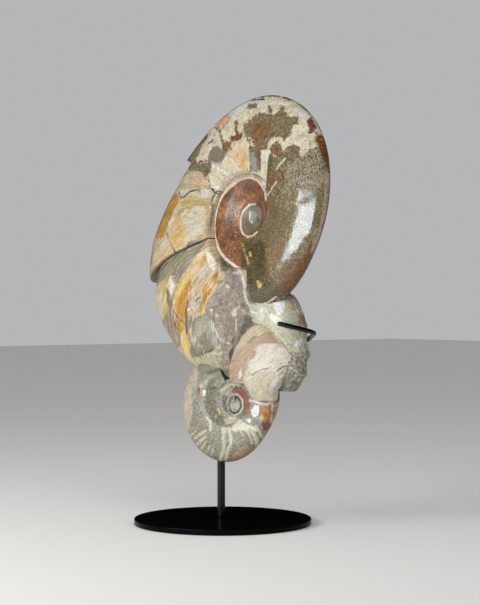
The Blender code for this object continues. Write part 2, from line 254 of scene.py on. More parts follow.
def inside(at, outline):
    """Whether each point of the picture lies in an outline, by counting crossings to its left."""
    crossings = np.zeros(len(at), bool)
    for (ax, ay), (bx, by) in zip(outline, outline[1:] + outline[:1]):
        if ay == by:
            continue
        spans = (at[:, 1] < ay) != (at[:, 1] < by)
        crossings ^= spans & (at[:, 0] < ax + (at[:, 1] - ay) / (by - ay) * (bx - ax))
    return crossings


class Mark:
    """A set of marks on one piece: its two tones, how ragged and soft its border is, and its shapes.

    The tones are None where the look of the piece gives the colour."""

    def __init__(self, name, tones, ragged, soft, *shapes):
        self.name = name
        self.tones = tones
        self.ragged = ragged
        self.soft = soft
        self.shapes = shapes


def area(*corners):
    """A filled outline in picture pixels, which has no width of line."""
    return None, corners


def stroke(width, *corners):
    """A line in picture pixels."""
    return width, corners


def mark_distance(at, shapes):
    """Signed distance to a set of marks, in pixels: below zero inside an area or on a stroke."""
    best = np.full(len(at), 99.0)
    for width, corners in shapes:
        if width is None:
            away = to_line(at, corners + corners[:1])
            away = np.where(inside(at, corners), -away, away)
        else:
            away = to_line(at, corners) - width / 2
        best = np.minimum(best, away)
    return best


def both_sides(values):
    """Values of the front skin's points, repeated for the back skin's."""
    return np.tile(values, 2)


def mark_fields(points, marks):
    """One field for each set of marks, the same on the back skin as on the front."""
    at = seen(points)
    return {each.name: both_sides(mark_distance(at, each.shapes)) for each in marks}


def thicken(plane, x, y, front, back, faces):
    """A closed skin between two height fields over one sheet of faces, walled at its edge."""
    count = len(x)
    points = np.vstack([to_space(plane, x, y, front), to_space(plane, x, y, back)])
    faces = np.asarray(faces)
    ends = np.concatenate([faces[:, [k, (k + 1) % 4]] for k in range(4)])
    ends = ends[ends[:, 0] != ends[:, 1]]
    forward = set(map(tuple, ends.tolist()))
    edge = [(a, b) for a, b in forward if (b, a) not in forward]
    walls = [(b, a, a + count, b + count) for a, b in sorted(edge)]
    front_faces = faces.tolist()
    back_faces = [[v + count for v in reversed(face)] for face in front_faces]
    return points, front_faces + back_faces + walls


def placed(name, data):
    """A new object in the scene."""
    made = bpy.data.objects.new(name, data)
    bpy.context.scene.collection.objects.link(made)
    return made


def dress(piece, node):
    """Make a piece the finished form of a solid."""
    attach(piece, "root")
    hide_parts(node)


def skin(name, points, faces, fields, look, node):
    """One finished piece: its mesh, its fields for the material, and the solid it stands for."""
    clean = []
    for face in faces:
        kept = [v for k, v in enumerate(face) if v != face[k - 1]]
        if len(kept) > 2:
            clean.append(kept)
    mesh = bpy.data.meshes.new(name)
    mesh.from_pydata((np.asarray(points) * MM).tolist(), [], clean)
    for field, values in fields.items():
        made = mesh.attributes.new(field, "FLOAT", "POINT")
        made.data.foreach_set("value", np.asarray(values, np.float32))
    mesh.shade_smooth()
    mesh.set_sharp_from_angle(angle=math.radians(50))
    mesh.materials.append(look)
    dress(placed(name, mesh), node)


def rounded_rim(count):
    """Shares of the way out to a rounded rim, closer together towards it."""
    return np.sin(np.linspace(0, math.pi / 2, count)[1:])


def coil(seam, growth, rim, span, depth, turns, step, inner, outer, steep_from, hand=1, wander=None):
    """A coiled shell as one sheet that follows the spiral.

    The inner shares run from a seam to the next, the outer ones from there to the rim of the last
    turn. The walls grow steep from a given angle on."""
    per_turn = round(360 / step)
    last = round((span[1] - span[0]) / step)
    columns = turns * per_turn + last
    first_rim = columns - last
    rim_per_seam = rim[0][1] / spiral(seam, growth, span[0])
    wander_run = 30
    steep_run = 60.0
    groove_width = 1.1

    def rim_at(angle):
        within = spiral(seam, growth, angle) * rim_per_seam
        return np.where(angle >= span[0] - 1e-6, smooth(rim, angle), within)

    def level(angle, share):
        return depth * rim_at(angle) * flank(share)

    def column(angle, to_rim):
        low = float(spiral(seam, growth, angle))
        high = float(rim_at(angle)) - INSIDE
        follow = low * growth
        under = (low - low / growth) / (float(rim_at(angle - 360)) - low / growth)
        seam_level = float(level(angle - 360, under))
        radii = low + inner * (follow - low)
        steep = float(ease((angle - steep_from) / steep_run))
        wall_top = 0.5 - 0.415 * steep
        lift = ease(inner / wall_top) ** 0.7
        if to_rim:
            radii = np.concatenate([radii, follow + outer * (high - follow)])
            lift = np.concatenate([lift, np.ones(len(outer))])
        share = (radii - low) / (high - low)
        height = seam_level + (level(angle, share) - seam_level) * lift
        groove = (0.2 + 0.8 * steep) * np.exp(-(((radii - low) / groove_width) ** 2))
        return radii, np.maximum(height - groove, THINNEST)

    x, y, h, index = [], [], [], {}
    for i in reversed(range(columns + 1)):
        angle = span[1] - (columns - i) * step
        radii, height = column(angle, i >= first_rim)
        turned = np.full(len(radii), angle)
        if wander is not None and i >= first_rim:
            near = np.clip((angle - span[1] + wander_run) / wander_run, 0, 1) ** 2
            turned = turned + near * wander(radii)
        around = np.radians(turned) * hand
        ids = np.arange(len(radii)) + len(x)
        keep = np.ones(len(radii), bool)
        if i + per_turn <= columns:
            keep[len(inner) - 1] = False
            ids[len(inner):] -= 1
            ids[len(inner) - 1] = index[i + per_turn][0]
        index[i] = ids
        x += (radii * np.cos(around))[keep].tolist()
        y += (radii * np.sin(around))[keep].tolist()
        h += height[keep].tolist()
    faces = []
    for i in range(columns):
        rows = len(inner) - 1 + (len(outer) if i >= first_rim else 0)
        a = index[i]
        b = index[i + 1]
        faces += [(a[j], a[j + 1], b[j + 1], b[j]) for j in range(rows)]
    eye = [index[i][0] for i in range(per_turn + 1)]
    eye += [index[0][j] for j in range(len(inner) - 2, 0, -1)]
    start = span[1] - columns * step
    towards = math.radians(start - 90) * hand
    away = 0.3 * float(spiral(seam, growth, start))
    close_eye(x, y, h, faces, eye, (away * math.cos(towards), away * math.sin(towards)))
    faces = np.array(faces)
    if hand < 0:
        faces = faces[:, ::-1]
    return np.array(x), np.array(y), np.array(h), faces


def close_eye(x, y, h, faces, eye, centre):
    """Fill the hole at a coil's start with rings that close on a centre."""
    rings = 8
    middle = np.array([*centre, np.mean([h[v] for v in eye])])
    border = np.array([(x[v], y[v], h[v]) for v in eye])
    ring = eye
    for share in np.linspace(0, 1, rings + 1)[1:-1]:
        inward = border + (middle - border) * share
        after = list(range(len(x), len(x) + len(eye)))
        for values, new in zip((x, y, h), inward.T):
            values += new.tolist()
        faces += list(zip(ring, ring[1:] + ring[:1], after[1:] + after[:1], after))
        ring = after
    for values, new in zip((x, y, h), middle):
        values.append(float(new))
    faces += [(a, b, len(x) - 1, len(x) - 1) for a, b in zip(ring, ring[1:] + ring[:1])]


def body_piece(rim, start, stop, columns, rows, front_at, back_at):
    """A length of the large shell's outer whorl, between two edges given by share of height.

    It is made of columns + 1 lines of points, each from the seam to the rim."""
    near_seam = 0.06
    near_rim = 0.86
    shares = np.concatenate([
        np.linspace(0, near_seam, 8)[:-1], np.linspace(near_seam, near_rim, rows),
        near_rim + (1 - near_rim) * rounded_rim(14),
    ])
    t = np.linspace(0, 1, columns + 1)[:, None]
    share = np.broadcast_to(shares, (columns + 1, len(shares)))
    # The angles follow from the radii and the radii from the angles, so the first are a guess.
    guess = 52.0 + share * 90.0
    angle = start(share, guess) * (1 - t) + stop(share) * t
    low = spiral(LARGE_SEAM, LARGE_TURN_GROWTH, angle) + JOINT_GAP
    radius = low + share * (smooth(rim, angle) - INSIDE - low)
    angle = start(share, radius) * (1 - t) + stop(share) * t
    front = np.maximum(front_at(angle, share, radius), THINNEST)
    back = -np.maximum(back_at(angle, share, radius), THINNEST)
    x = radius * np.cos(np.radians(angle))
    y = radius * np.sin(np.radians(angle))
    wide = len(shares)
    a = (np.arange(columns)[:, None] * wide + np.arange(wide - 1)).ravel()
    faces = np.stack([a, a + 1, a + wide + 1, a + wide], axis=1)
    flat = [v.ravel() for v in (x, y, front, back, angle, share)]
    return *flat, faces


def whorl_level(rim, angle, share):
    """Half thickness of the outer whorl, with a low wall at its seam."""
    wall = 0.55 + 0.45 * ease(share / 0.045)
    return BODY_HALF_DEPTH * smooth(rim, angle) * flank(share) * wall


def lip_fall(angle, share):
    """How far the outer corner of the lower end falls away, as a factor."""
    lip = np.clip((angle - LIP_ANGLE) / 9, 0, None) * ease((share - 0.6) / 0.2)
    return np.sqrt(np.clip(1 - 0.75 * lip * lip, 0.05, 1))


def broken_open(angle, share, wide):
    """How far the lower piece's shell has gone, from 0 on the shell to 1 on the rock inside."""
    edge = smooth(SHELL_EDGE, share)
    return ease((angle - edge) / wide) * (1 - ease((share - 0.78) / 0.08))


def lower_front(angle, share, radius):
    """The lower piece's front: sunk at the step, and broken open to rock beyond the shell's edge."""
    level = whorl_level(LOWER_RIM, angle, share)
    sunk = STEP_DROP * (1 - ease((angle - STEP_ANGLE) / STEP_RUN)) * (0.35 + 0.65 * share)
    broken = broken_open(angle, share, 3)
    hollow = broken_open(angle, share, 26)
    wave = 0.8 * np.sin(angle * 0.6) * np.sin(radius * 0.2 + 1.0)
    shallow = level - 3.0 + wave
    deep = 9.0 + 2.0 * share + wave
    rock = shallow * (1 - hollow) + deep * hollow
    level = (level - sunk) * (1 - broken) + rock * broken
    return level * lip_fall(angle, share)


def patch(outline, columns, rings):
    """A sheet of rings inside a closed outline, with each point's share of the way out."""
    corners = np.array(outline, float)
    middle = corners.mean(axis=0)
    away = corners - middle
    angles = np.unwrap(np.arctan2(away[:, 1], away[:, 0]))
    radii = np.hypot(away[:, 0], away[:, 1])
    angle = angles[0] + 2 * math.pi * np.arange(columns) / columns
    radius = np.interp(angle, np.append(angles, angles[0] + 2 * math.pi), np.append(radii, radii[0]))
    ring = np.asarray(rings)[:, None]
    x = np.append(middle[0], (middle[0] + ring * radius * np.cos(angle)).ravel())
    y = np.append(middle[1], (middle[1] + ring * radius * np.sin(angle)).ravel())
    share = np.append(0.0, np.broadcast_to(ring, (len(rings), columns)).ravel())
    i = np.arange(columns)
    after = (i + 1) % columns
    faces = [np.stack([0 * i, 1 + i, 1 + after, 0 * i], axis=1)]
    for k in range(len(rings) - 1):
        a = 1 + k * columns + i
        b = 1 + k * columns + after
        faces.append(np.stack([a, a + columns, b + columns, b], axis=1))
    return x, y, share, np.concatenate(faces)


def bump(x, y, at, size, height):
    """A soft round rise at a place."""
    return height * np.exp(-(((x - at[0]) / size[0]) ** 2) - ((y - at[1]) / size[1]) ** 2)


def rock_front(x, y, share):
    """The rock's front: swellings over a level that falls away towards the rim."""
    rim_level = -8.0
    level = 3.0
    for at, size, height in ROCK_SWELLINGS:
        level = level + bump(x, y, at, size, height)
    return rim_level + (level - rim_level) * np.sqrt(np.clip(1 - share**5, 0.12, 1))


def rock_back(x, y, share):
    """The rock's back: a plain rounded face."""
    rim_level = 8.0
    level = 24.0 - 5.0 * ((x - 5) / 55) ** 2
    level += 2.0 * np.sin(x * 0.17 + 1.0) * np.sin(y * 0.15)
    return -(rim_level + (level - rim_level) * np.sqrt(np.clip(1 - share**4, 0.01, 1)))


def piece_front(x, y, share):
    """The loose piece's front: crowned, with a rounded rim."""
    level = 19.5 - 0.0055 * (x + 8) ** 2 - 0.003 * (y + 6) ** 2
    return level - 4.0 * share**6


def tone(colour):
    """A display colour, 0 to 255, as the linear colour that a shader takes."""
    made = []
    for value in colour:
        value /= 255.0
        made.append(value / 12.92 if value < 0.04045 else ((value + 0.055) / 1.055) ** 2.4)
    return (*made, 1.0)


class Paint:
    """A procedural material, built up in layers. Colours are node outputs or display colours."""

    def __init__(self, name, roughness, ior=1.45):
        self.made = bpy.data.materials.new(name)
        self.made.use_nodes = True
        self.tree = self.made.node_tree
        self.shader = self.tree.nodes["Principled BSDF"]
        self.shader.inputs["IOR"].default_value = ior
        self.shader.inputs["Roughness"].default_value = roughness
        self.place = self.tree.nodes.new("ShaderNodeTexCoord").outputs["Object"]

    def put(self, socket, value):
        """Give a socket a node's output, a number or a display colour."""
        if isinstance(value, bpy.types.NodeSocket):
            self.tree.links.new(value, socket)
        else:
            socket.default_value = tone(value) if isinstance(value, tuple) else value

    def noise(self, size, detail=4.0, roughness=0.55, twist=0.0, place=None):
        """Noise between 0 and 1 with features about this many millimetres across."""
        node = self.tree.nodes.new("ShaderNodeTexNoise")
        self.put(node.inputs["Vector"], place or self.place)
        node.inputs["Scale"].default_value = 1.0 / (size * MM)
        node.inputs["Detail"].default_value = detail
        node.inputs["Roughness"].default_value = roughness
        node.inputs["Distortion"].default_value = twist
        return node.outputs["Fac"]

    def cracks(self, size, wander, reach):
        """Distance to a net of cracks with meshes of a size, that wander up to a reach."""
        node = self.tree.nodes.new("ShaderNodeTexVoronoi")
        node.feature = "DISTANCE_TO_EDGE"
        self.put(node.inputs["Vector"], self.strayed(wander, reach))
        node.inputs["Scale"].default_value = 1.0 / (size * MM)
        return node.outputs["Distance"]

    def strayed(self, size, reach):
        """The place, moved about by noise of a size, up to a reach, both in millimetres."""
        source = self.tree.nodes.new("ShaderNodeTexNoise")
        source.inputs["Scale"].default_value = 1.0 / (size * MM)
        self.put(source.inputs["Vector"], self.place)
        node = self.tree.nodes.new("ShaderNodeVectorMath")
        node.operation = "MULTIPLY_ADD"
        self.put(node.inputs[0], source.outputs["Color"])
        node.inputs[1].default_value = (2 * reach * MM,) * 3
        self.put(node.inputs[2], self.place)
        return node.outputs[0]

    def drawn_out(self, x, y):
        """A flat place from two fields in millimetres, drawn out sixfold along the second."""
        node = self.tree.nodes.new("ShaderNodeCombineXYZ")
        self.put(node.inputs["X"], self.scaled(self.field(x), MM))
        self.put(node.inputs["Y"], self.scaled(self.field(y), MM / 6.0))
        return node.outputs[0]

    def field(self, name):
        """A value that the mesh carries at its points."""
        node = self.tree.nodes.new("ShaderNodeAttribute")
        node.attribute_type = "GEOMETRY"
        node.attribute_name = name
        return node.outputs["Fac"]

    def maths(self, kind, *values):
        """One sum, of a kind that Math nodes know."""
        node = self.tree.nodes.new("ShaderNodeMath")
        node.operation = kind
        for socket, value in zip(node.inputs, values):
            self.put(socket, value)
        return node.outputs[0]

    def scaled(self, value, by, plus=0.0):
        """A value times another, plus a third."""
        return self.maths("MULTIPLY_ADD", value, by, plus)

    def step(self, value, low, high, to_low=0.0, to_high=1.0):
        """A smooth step, to_low at low and to_high at high."""
        node = self.tree.nodes.new("ShaderNodeMapRange")
        node.interpolation_type = "SMOOTHSTEP"
        self.put(node.inputs["Value"], value)
        node.inputs["From Min"].default_value = low
        node.inputs["From Max"].default_value = high
        node.inputs["To Min"].default_value = to_low
        node.inputs["To Max"].default_value = to_high
        return node.outputs[0]

    def mix(self, factor, a, b):
        """The colour a where the factor is 0, and b where it is 1."""
        node = self.tree.nodes.new("ShaderNodeMix")
        node.data_type = "RGBA"
        self.put(node.inputs[0], factor)
        self.put(node.inputs[6], a)
        self.put(node.inputs[7], b)
        return node.outputs[2]

    def veil(self, colour, over, value, low, high, to_low=0.0, to_high=1.0):
        """A colour laid over another, as strongly as a smooth step of a value says."""
        return self.mix(self.step(value, low, high, to_low, to_high), colour, over)

    def ramp(self, value, *stops):
        """Colours along a value: (position, colour) pairs."""
        node = self.tree.nodes.new("ShaderNodeValToRGB")
        self.put(node.inputs[0], value)
        made = node.color_ramp.elements
        while len(made) < len(stops):
            made.new(0.5)
        for stop, (at, colour) in zip(made, stops):
            stop.position = at
            stop.color = tone(colour)
        return node.outputs[0]

    def relief(self, height, depth):
        """Fine relief of a depth in millimetres, on top of what is there."""
        node = self.tree.nodes.new("ShaderNodeBump")
        self.put(node.inputs["Height"], height)
        node.inputs["Distance"].default_value = depth * MM
        node.inputs["Strength"].default_value = 1.0
        if self.shader.inputs["Normal"].is_linked:
            before = self.shader.inputs["Normal"].links[0].from_socket
            self.tree.links.new(before, node.inputs["Normal"])
        self.tree.links.new(node.outputs[0], self.shader.inputs["Normal"])

    def distance(self, name, ragged, edge):
        """Pixels to a set of marks, whose border strays by about as many pixels as ragged says."""
        strays = self.maths("SUBTRACT", edge, 0.5)
        return self.scaled(strays, RAGGED_PIXELS * ragged, self.field(name))

    def mask(self, name, ragged, soft, edge):
        """1 inside a set of marks."""
        return self.step(self.distance(name, ragged, edge), -soft, soft, 1.0, 0.0)

    def finish(self, colour, roughness=None):
        """The finished material, with its colour and, if given, its changing roughness."""
        self.put(self.shader.inputs["Base Color"], colour)
        if roughness is not None:
            self.put(self.shader.inputs["Roughness"], roughness)
        return self.made


# The markings of each piece, painted in this order. All places and widths are picture pixels.
# The first two sets lie on both sides of a seam.
CHIPS = Mark("chips", ((220, 210, 194), (200, 188, 170)), 0.7, 0.5,
    area((231, 313), (234, 308), (237, 308), (236, 316), (232, 317)),
    area((216, 314), (219, 314), (219, 317), (216, 317)),
    area((226, 284), (229, 285), (230, 288), (226, 288)),
    area((233, 272), (238, 271), (239, 274), (234, 275)),
    area((209, 309), (213, 309), (211, 313)),
    stroke(1.5, (215, 329), (218, 337), (222, 341), (230, 344)),
    stroke(1.0, (241, 309), (246, 314)),
    stroke(1.0, (236, 318), (236, 331)),
    stroke(1.2, (235, 309), (240, 306)))
SEAM_FOOT = Mark("seam_foot", ((216, 207, 189), (198, 187, 168)), 0.4, 0.6,
    stroke(3.0, (238, 268), (242, 274), (244.5, 285), (245, 296), (247, 303)),
    stroke(1.8, (247, 303), (251, 306.5), (259, 307.5), (268, 305), (277, 299)))
DISC_MARKS = (
    Mark("flank_pink", None, 4, 5,
        area((268, 240), (280, 236), (290, 245), (286, 262), (292, 268), (280, 280), (268, 278),
            (264, 262))),
    Mark("flank_dark", None, 3, 4,
        area((240, 262), (243, 240), (255, 238), (264, 242), (266, 262), (268, 280), (280, 285),
            (292, 284), (280, 298), (264, 309), (249, 310), (243, 300), (242, 285))),
    Mark("flank_olive", None, 3, 4,
        area((262, 232), (267, 215), (276, 204), (289, 208), (290, 225), (284, 235), (275, 245),
            (266, 245))),
    Mark("net", None, 3, 2,
        area((283, 176), (285, 168), (292, 160), (300, 158), (307, 151), (313, 147), (321, 149),
            (326, 165), (325, 185), (316, 193), (300, 192), (286, 190))),
    Mark("cream", None, 1.6, 0.6,
        area((184, 166), (186, 150), (200, 128), (215, 112), (235, 98), (260, 90), (285, 89), (306, 98),
            (320, 114), (330, 135), (331, 150), (316, 147), (306, 152), (303, 158), (299, 156), (297, 146),
            (287, 147), (283, 155), (280, 147), (272, 146), (269, 151), (267, 172), (265, 188), (262, 197),
            (225, 201), (210, 197), (205, 180), (208, 171), (190, 166))),
    Mark("cool_cream", ((196, 196, 190), (208, 205, 194)), 2.5, 2,
        area((222, 116), (230, 108), (243, 100), (262, 96), (264, 101), (245, 108), (232, 117), (224, 121)),
        area((296, 106), (304, 111), (313, 116), (315, 121), (303, 118), (297, 114)),
        area((312, 128), (319, 128), (320, 133), (314, 134))),
    Mark("wedge_pink", ((212, 184, 150), (205, 176, 140)), 1.2, 1.5,
        area((240, 143), (243, 150), (242, 160), (236, 166), (230, 160), (226, 155))),
    Mark("wedge_yellow", ((206, 196, 160), (200, 190, 158)), 1.5, 1.5,
        area((228, 156), (232, 162), (236, 171), (230, 172), (225, 163)),
        area((212, 172), (220, 172), (224, 180), (218, 186), (211, 184))),
    Mark("wedge_orange", ((208, 182, 136), (200, 162, 106)), 1.2, 1.2,
        area((243, 147), (247, 156), (248, 166), (243, 171), (238, 168), (241, 158))),
    Mark("wedge_streaks", ((228, 220, 214), (216, 206, 204)), 0.8, 0.7,
        stroke(1.6, (230, 158), (234, 163), (238, 169)),
        stroke(2.6, (213, 166), (222, 170), (228, 175), (232, 178)),
        stroke(1.4, (211, 176), (214, 186), (222, 190))),
    Mark("wall", ((196, 176, 152), (172, 150, 128)), 0.8, 1.2,
        stroke(5.0, (220, 197), (225, 189), (232, 182), (240, 177), (248, 175), (256, 177), (262, 181))),
    Mark("olive", None, 1.8, 0.5,
        area((244, 124), (250, 120), (255, 116), (260, 112), (266, 114), (272, 113), (275, 116),
            (278, 111), (283, 106), (285, 111), (287, 111), (287, 117), (296, 117), (299, 119), (298, 123),
            (293, 124), (291, 130), (288, 136), (284, 140), (280, 136), (272, 138), (268, 142), (264, 148),
            (260, 150), (258, 146), (254, 141), (250, 137), (246, 136), (244, 131)),
        area((247, 108), (248, 103), (252, 104), (256, 103), (257, 107), (253, 109)),
        area((268, 105), (271, 106), (272, 112), (269, 112)),
        area((233, 123), (237, 120), (238, 124), (235, 125)),
        area((208, 143), (213, 139), (212, 142), (209, 144)),
        area((186, 166), (188, 154), (198, 138), (207, 133), (208, 137), (202, 146), (198, 155),
            (193, 161)),
        area((186, 168), (190, 161), (203, 163), (211, 162), (210, 173), (205, 176), (198, 173),
            (190, 172)),
        area((284, 150), (288, 147), (294, 145), (300, 147), (299, 153), (296, 158), (288, 158),
            (284, 156)),
        area((249, 146), (257, 146), (262, 144), (268, 145), (266, 150), (262, 152), (261, 170),
            (256, 172), (250, 171), (250, 160)),
        area((272, 146), (276, 142), (281, 146), (283, 152), (281, 158), (284, 161), (278, 166),
            (272, 158), (269, 152)),
        stroke(1.5, (216, 128), (220, 131), (222, 140), (224, 144)),
        stroke(1.2, (236, 125), (236, 132)),
        stroke(1.2, (247, 139), (252, 147))),
    Mark("grey_blue", ((150, 153, 144), (126, 130, 124)), 1.5, 1,
        area((249, 152), (254, 152), (256, 160), (260, 163), (259, 171), (252, 171), (249, 160))),
    Mark("brown", ((106, 76, 46), (128, 98, 64)), 2.4, 1.2,
        area((250, 127), (256, 122), (262, 120), (267, 124), (270, 131), (266, 137), (258, 138),
            (249, 134)),
        area((250, 138), (258, 139), (263, 141), (260, 151), (255, 146)),
        area((221, 145), (226, 141), (232, 142), (231, 148), (226, 153), (221, 150)),
        area((274, 145), (279, 147), (278, 157), (272, 153)),
        area((268, 172), (275, 172), (275, 190), (268, 190)),
        area((257, 150), (261, 150), (261, 171), (258, 170))),
    Mark("rust_streak", ((112, 68, 38), (134, 86, 50)), 0.8, 0.8,
        area((275, 145), (278, 148), (277, 153), (274, 150)),
        stroke(1.4, (270, 112), (271, 120), (269, 129))),
    Mark("dark_red", ((98, 52, 40), (124, 72, 54)), 1.2, 0.6,
        area((237, 131), (240, 134), (243, 132), (242, 137), (238, 141), (233, 141), (230, 140),
            (231, 136), (235, 136)),
        area((306, 121), (311, 117), (314, 123), (317, 128), (312, 133), (307, 136), (310, 129)),
        stroke(1.3, (250, 138), (258, 139), (268, 136), (275, 134)),
        stroke(1.2, (239, 142), (243, 142)),
        stroke(1.6, (282, 172), (284, 182)),
        stroke(1.6, (190, 160), (198, 162), (207, 161))),
    Mark("grey_purple", ((118, 115, 99), (122, 112, 104)), 1.2, 0.8,
        area((209, 153), (213, 146), (218, 146), (222, 150), (227, 153), (224, 160), (219, 163),
            (211, 162), (208, 158))),
    Mark("rust", None, 2.6, 1.8,
        area((316, 133), (322, 135), (326, 147), (334, 150), (334, 166), (327, 168), (323, 158),
            (320, 149), (316, 143)),
        area((311, 243), (322, 248), (316, 262), (302, 280), (290, 292), (279, 294), (279, 286),
            (281, 278), (288, 272), (296, 262), (303, 255))),
    Mark("tan_spot", ((190, 146, 104), (206, 172, 132)), 1, 0.7,
        area((215, 124), (222, 117), (228, 115), (230, 118), (226, 124), (222, 129), (218, 127))),
    Mark("venter", ((188, 168, 148), (170, 152, 132)), 0.8, 1.2,
        area((325, 172), (336, 172), (336, 200), (332, 224), (322, 250), (314, 258), (310, 251),
            (317, 236), (321, 220), (324, 200))),
    Mark("venter_line", ((126, 114, 66), (110, 102, 64)), 1, 0.8,
        stroke(2.2, (321, 190), (319, 205), (316, 222), (311, 238), (306, 250), (300, 258))),
    Mark("bars", ((216, 208, 190), (204, 195, 172)), 0.7, 0.5,
        area((261, 150), (270, 150), (268, 160), (267, 175), (265, 187), (262, 182), (261, 168)),
        stroke(1.5, (268, 195), (272, 188), (277, 181)),
        stroke(1.4, (276, 170), (280, 164), (286, 158)),
        stroke(1.1, (270, 152), (274, 156), (280, 159))),
    Mark("bar_shade", ((80, 77, 54), (96, 91, 66)), 0.8, 0.6,
        area((270, 153), (273, 158), (273, 165), (269, 175), (267, 180), (268, 165))),
    Mark("rim_spots", ((58, 54, 44), (88, 82, 64)), 1.8, 0.6,
        stroke(2.4, (262, 96), (270, 95), (278, 96)),
        stroke(3.0, (294, 98), (300, 103), (310, 112)),
        stroke(1.4, (283, 98), (292, 100)),
        stroke(1.2, (252, 100), (264, 99))),
    Mark("amber", None, 1.0, 0.5,
        area((214, 231), (215, 212), (220, 200), (228, 190), (237, 183), (247, 178), (256, 180),
            (261, 185), (265, 193), (268, 203), (267, 212), (263, 222), (259, 232), (252, 236), (243, 238),
            (242, 246), (241, 258), (242, 269), (235, 269), (227, 262), (219, 250), (215, 240))),
    Mark("amber_flecks", None, 2.2, 3.5,
        stroke(7.0, (231, 208), (235, 220), (236, 234), (235, 248), (231, 259)),
        stroke(4.0, (243, 196), (247, 203))),
    Mark("hub", ((100, 94, 76), (118, 96, 76)), 0.8, 0.8,
        area((256, 205), (250, 205), (244, 210), (241, 217), (241, 227), (244, 234), (250, 237),
            (256, 233), (260, 224), (262, 214), (260, 208))),
    Mark("hub_edge", ((120, 62, 36), (96, 60, 40)), 0.9, 0.8,
        stroke(2.6, (261, 206), (263, 215), (261, 225), (256, 232), (249, 234))),
    Mark("hub_eye", ((148, 150, 138), (126, 130, 118)), 0.6, 0.6,
        area((250, 214), (252, 211), (255, 211), (257, 215), (256, 221), (253, 223), (250, 221))),
    Mark("crack", ((78, 70, 60), (98, 90, 78)), 0.5, 0.6,
        stroke(1.4, (207, 170), (208, 178), (210, 186), (214, 192), (219, 194))),
    Mark("seam", ((220, 212, 195), (200, 189, 170)), 0.4, 0.6,
        stroke(1.6, (266, 200), (265, 192), (262, 186), (258, 181), (252, 178), (245, 178), (238, 181)),
        stroke(2.2, (238, 181), (230, 187), (222, 196), (217, 207), (214.5, 220)),
        stroke(2.8, (214.5, 220), (214, 232), (216, 243), (220, 252), (226, 259), (233, 264.5), (239, 269)),
        stroke(3.0, (239, 269), (244, 276), (246.5, 286), (247, 297), (249, 304)),
        stroke(1.8, (249, 304), (258, 305.5), (267, 303), (276, 297)),
        stroke(1.8, (255, 204), (249, 205), (243, 211), (240.5, 219), (240.5, 228), (243, 234)),
        stroke(1.5, (243, 234), (248, 237), (253, 235.5), (257, 232)),
        stroke(1.0, (250, 212), (249.5, 220), (253, 223.5))),
    Mark("yellow", ((204, 178, 112), (190, 156, 94)), 0.8, 0.6,
        area((256, 281), (259, 280), (262, 285), (261, 289), (258, 288)),
        area((249, 252), (251, 252), (252, 256), (249, 256)),
        stroke(1.4, (247, 257), (248, 264)),
        stroke(1.3, (242, 243), (244, 249), (246, 256))),
)
